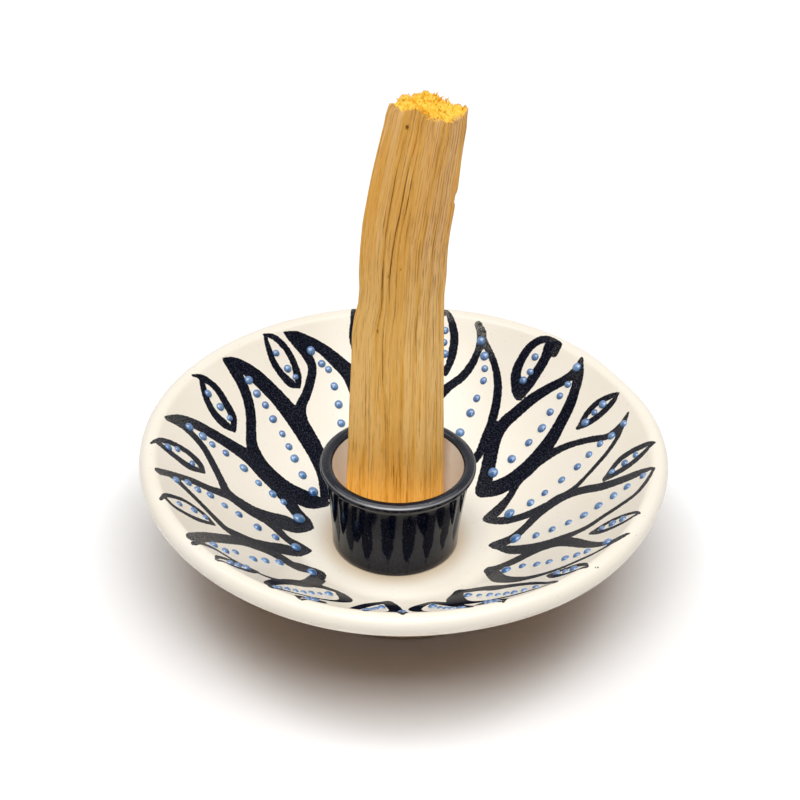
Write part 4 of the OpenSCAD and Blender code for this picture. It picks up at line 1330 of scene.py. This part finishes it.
def splitWood(look):
    material, tree, shader = newMaterial("splitWood")
    spot = objectPlace(tree)
    place = addNode(tree, "ShaderNodeAttribute", attribute_name="grainPlace").outputs["Vector"]
    torn, crack = paintedValue(tree, "torn"), paintedValue(tree, "crack")
    axes = splitAxes(tree, place)
    longGrain, finer, short = (drawnOut(tree, place, look[key]) for key in ("longGrain", "finerGrain", "shortGrain"))
    bands = spread(tree, noise(tree, longGrain, 2.0, 4.0, 0.65), 0.34, 0.66)
    colour = mixColour(tree, bands, woodColours["gold"], woodColours["pale"])
    patches = spread(tree, noise(tree, longGrain, 4.5, 2.0), 0.48, 0.68)
    rightSide = between(tree, axes["X"], (-1, 6), *look["dull"])
    colour = mixColour(tree, maths(tree, "MULTIPLY", patches, rightSide), colour, woodColours["dull"])
    # painted light: paler, brighter wood low on the stick, against the shade of the cup and dish
    paintedLightLow = between(tree, axes["Z"], look["paintedLightLowHeights"], look["paintedLightLow"], 0.0)
    colour = mixColour(tree, paintedLightLow, colour, woodColours["bright"])
    # amber low down, the wood's warm colour made brighter as painted light against the cup's shade; resin orange
    # beside the cracks and in thin streaks
    low = between(tree, axes["Z"], look["amberHeights"], look["amber"], 0.0)
    colour = mixColour(tree, low, colour, woodColours["amber"])
    streaks = spread(tree, noise(tree, longGrain, 0.7, 3.0, 0.6), 0.55, 0.66)
    beside = maths(tree, "MULTIPLY", spread(tree, crack, -1.0, -0.1), look["besideCracks"])
    resin = maths(tree, "MAXIMUM", maths(tree, "MULTIPLY", streaks, look["streaks"]), beside)
    colour = mixColour(tree, resin, colour, woodColours["orange"])
    paler = spread(tree, noise(tree, longGrain, 0.45, 3.0, 0.6), 0.57, 0.68)
    colour = mixColour(tree, maths(tree, "MULTIPLY", paler, look["paleStreaks"]), colour, woodColours["light"])
    # growth lines: ruled on the right side, broken elsewhere
    broken = spread(tree, noise(tree, short, 0.8, 3.0, 0.6), 0.42, 0.58)
    ruled = addNode(tree, "ShaderNodeTexWave", {"Vector": longGrain, "Scale": look["ruledScale"],
                                                "Distortion": look["ruledBend"], "Detail": 3.0,
                                                "Detail Scale": 1.2, "Detail Roughness": 0.7},
                    wave_type="BANDS", bands_direction="X").outputs["Fac"]
    ruledShare = between(tree, axes["X"], (-3, 5), *look["ruled"])
    ruledShare = maths(tree, "MULTIPLY", ruledShare, between(tree, axes["Z"], look["ruledHeights"], 0.3, 1.0))
    ruled = maths(tree, "MULTIPLY", maths(tree, "MULTIPLY", spread(tree, ruled, 0.45, 0.9), broken), ruledShare)
    lines = maths(tree, "MULTIPLY", spread(tree, noise(tree, finer, 0.35, 4.0, 0.75), 0.55, 0.65), look["lines"])
    pores = maths(tree, "MULTIPLY", spread(tree, noise(tree, longGrain, 0.2, 2.0), 0.58, 0.7), look["pores"])
    dark = maths(tree, "MAXIMUM", maths(tree, "MAXIMUM", lines, pores), ruled)
    colour = mixColour(tree, dark, colour, woodColours["line"])
    frayed = maths(tree, "SUBTRACT", noise(tree, longGrain, 0.35, 4.0, 0.7), 0.5)
    crackEdge = maths(tree, "ADD", crack, maths(tree, "MULTIPLY", frayed, look["frayed"]))
    colour = mixColour(tree, spread(tree, crackEdge, -0.08, 0.16), colour, woodColours["crack"])
    tuft = spread(tree, noise(tree, spot, 0.7, 4.0, 0.7), 0.36, 0.6)
    fibre = mixColour(tree, tuft, woodColours["fibreDeep"], woodColours["fibre"])
    colour = mixColour(tree, torn, colour, fibre)
    tree.links.new(colour, shader.inputs["Base Color"])
    shader.inputs["Roughness"].default_value = look["roughness"]
    shader.inputs["Specular IOR Level"].default_value = look["gloss"]
    bump(tree, shader, noise(tree, finer, 0.3, 4.0, 0.75), 0.7, 0.25)
    return material


def dress(piece, material):
    piece.data.materials.clear()
    piece.data.materials.append(material)


dress(dish, paintedGlaze("paintedGlaze", True, creamLook))
dress(cupBody, paintedGlaze("creamGlaze", False, creamLook))
dress(cupCoat, blackGlaze(blackLook))
blue = blueSlip(blueLook)
dress(petalDots, blue)
dress(leafDots, blue)
wood = splitWood(woodLook)
dress(stick, wood)
dress(fibres, wood)
print("materials made")


# studio: white floor, white surroundings and a wide soft lamp above

studioLook = {
    "floorSize": 6.0,
    "floorColour": (0.98, 0.98, 0.98, 1),
    "floorRoughness": 0.9,
    "floorGloss": 0.1,
    "skyStrength": 0.05,
    "lamps": [
        {"name": "overhead", "kind": "AREA", "place": (0.03, -0.62, 2.2), "size": (2.0, 2.05), "power": 60.0},
        {"name": "fromLeft", "kind": "AREA", "place": (-0.8, 0.3, 1.35), "size": (0.6, 0.6), "power": 2.6,
         "aim": (0, 0, 0.03)},
        {"name": "fromRight", "kind": "AREA", "place": (0.8, 0.3, 1.35), "size": (0.6, 0.6), "power": 2.6,
         "aim": (0, 0, 0.03)},
        {"name": "beam", "kind": "SPOT", "place": (0.0, -1.423, 1.163), "size": 0.004, "power": 30.0, "cone": 2.2,
         "aim": (0, -0.005, 0.027)},
    ],
}


def setStudio(look):
    freshStart()
    bpy.ops.mesh.primitive_plane_add(size=look["floorSize"])
    ground = bpy.context.object
    ground.name = "floor"
    material, tree, shader = newMaterial("paleFloor")
    shader.inputs["Base Color"].default_value = look["floorColour"]
    shader.inputs["Roughness"].default_value = look["floorRoughness"]
    shader.inputs["Specular IOR Level"].default_value = look["floorGloss"]
    dress(ground, material)
    world = bpy.data.worlds.new("whiteRoom")
    world.use_nodes = True
    bpy.context.scene.world = world
    tree = world.node_tree
    ray = addNode(tree, "ShaderNodeLightPath").outputs
    seen = maths(tree, "MAXIMUM", ray["Is Camera Ray"],
                 maths(tree, "MAXIMUM", ray["Is Glossy Ray"], ray["Is Transmission Ray"]))
    lit = addNode(tree, "ShaderNodeBackground", {"Color": (1, 1, 1, 1), "Strength": look["skyStrength"]})
    white = addNode(tree, "ShaderNodeBackground", {"Color": (1, 1, 1, 1), "Strength": 1.0})
    both = addNode(tree, "ShaderNodeMixShader", {"Fac": seen})
    tree.links.new(lit.outputs[0], both.inputs[1])
    tree.links.new(white.outputs[0], both.inputs[2])
    tree.links.new(both.outputs[0], tree.nodes["World Output"].inputs["Surface"])
    for item in look["lamps"]:
        bpy.ops.object.light_add(type=item["kind"], location=item["place"])
        lamp = bpy.context.object
        lamp.name = item["name"]
        lamp.data.energy = item["power"]
        if item["kind"] == "SPOT":
            lamp.data.shadow_soft_size = item["size"]
            lamp.data.spot_size, lamp.data.spot_blend = math.radians(item["cone"]), 1.0
        else:
            lamp.data.shape = "RECTANGLE"
            lamp.data.size, lamp.data.size_y = item["size"]
        if "aim" in item:
            away = Vector(item["place"]) - Vector(item["aim"])
            lamp.rotation_euler = away.to_track_quat("Z", "Y").to_euler()


setStudio(studioLook)
bpy.context.scene.view_settings.view_transform = "Standard"
print("studio lit")

freshStart()
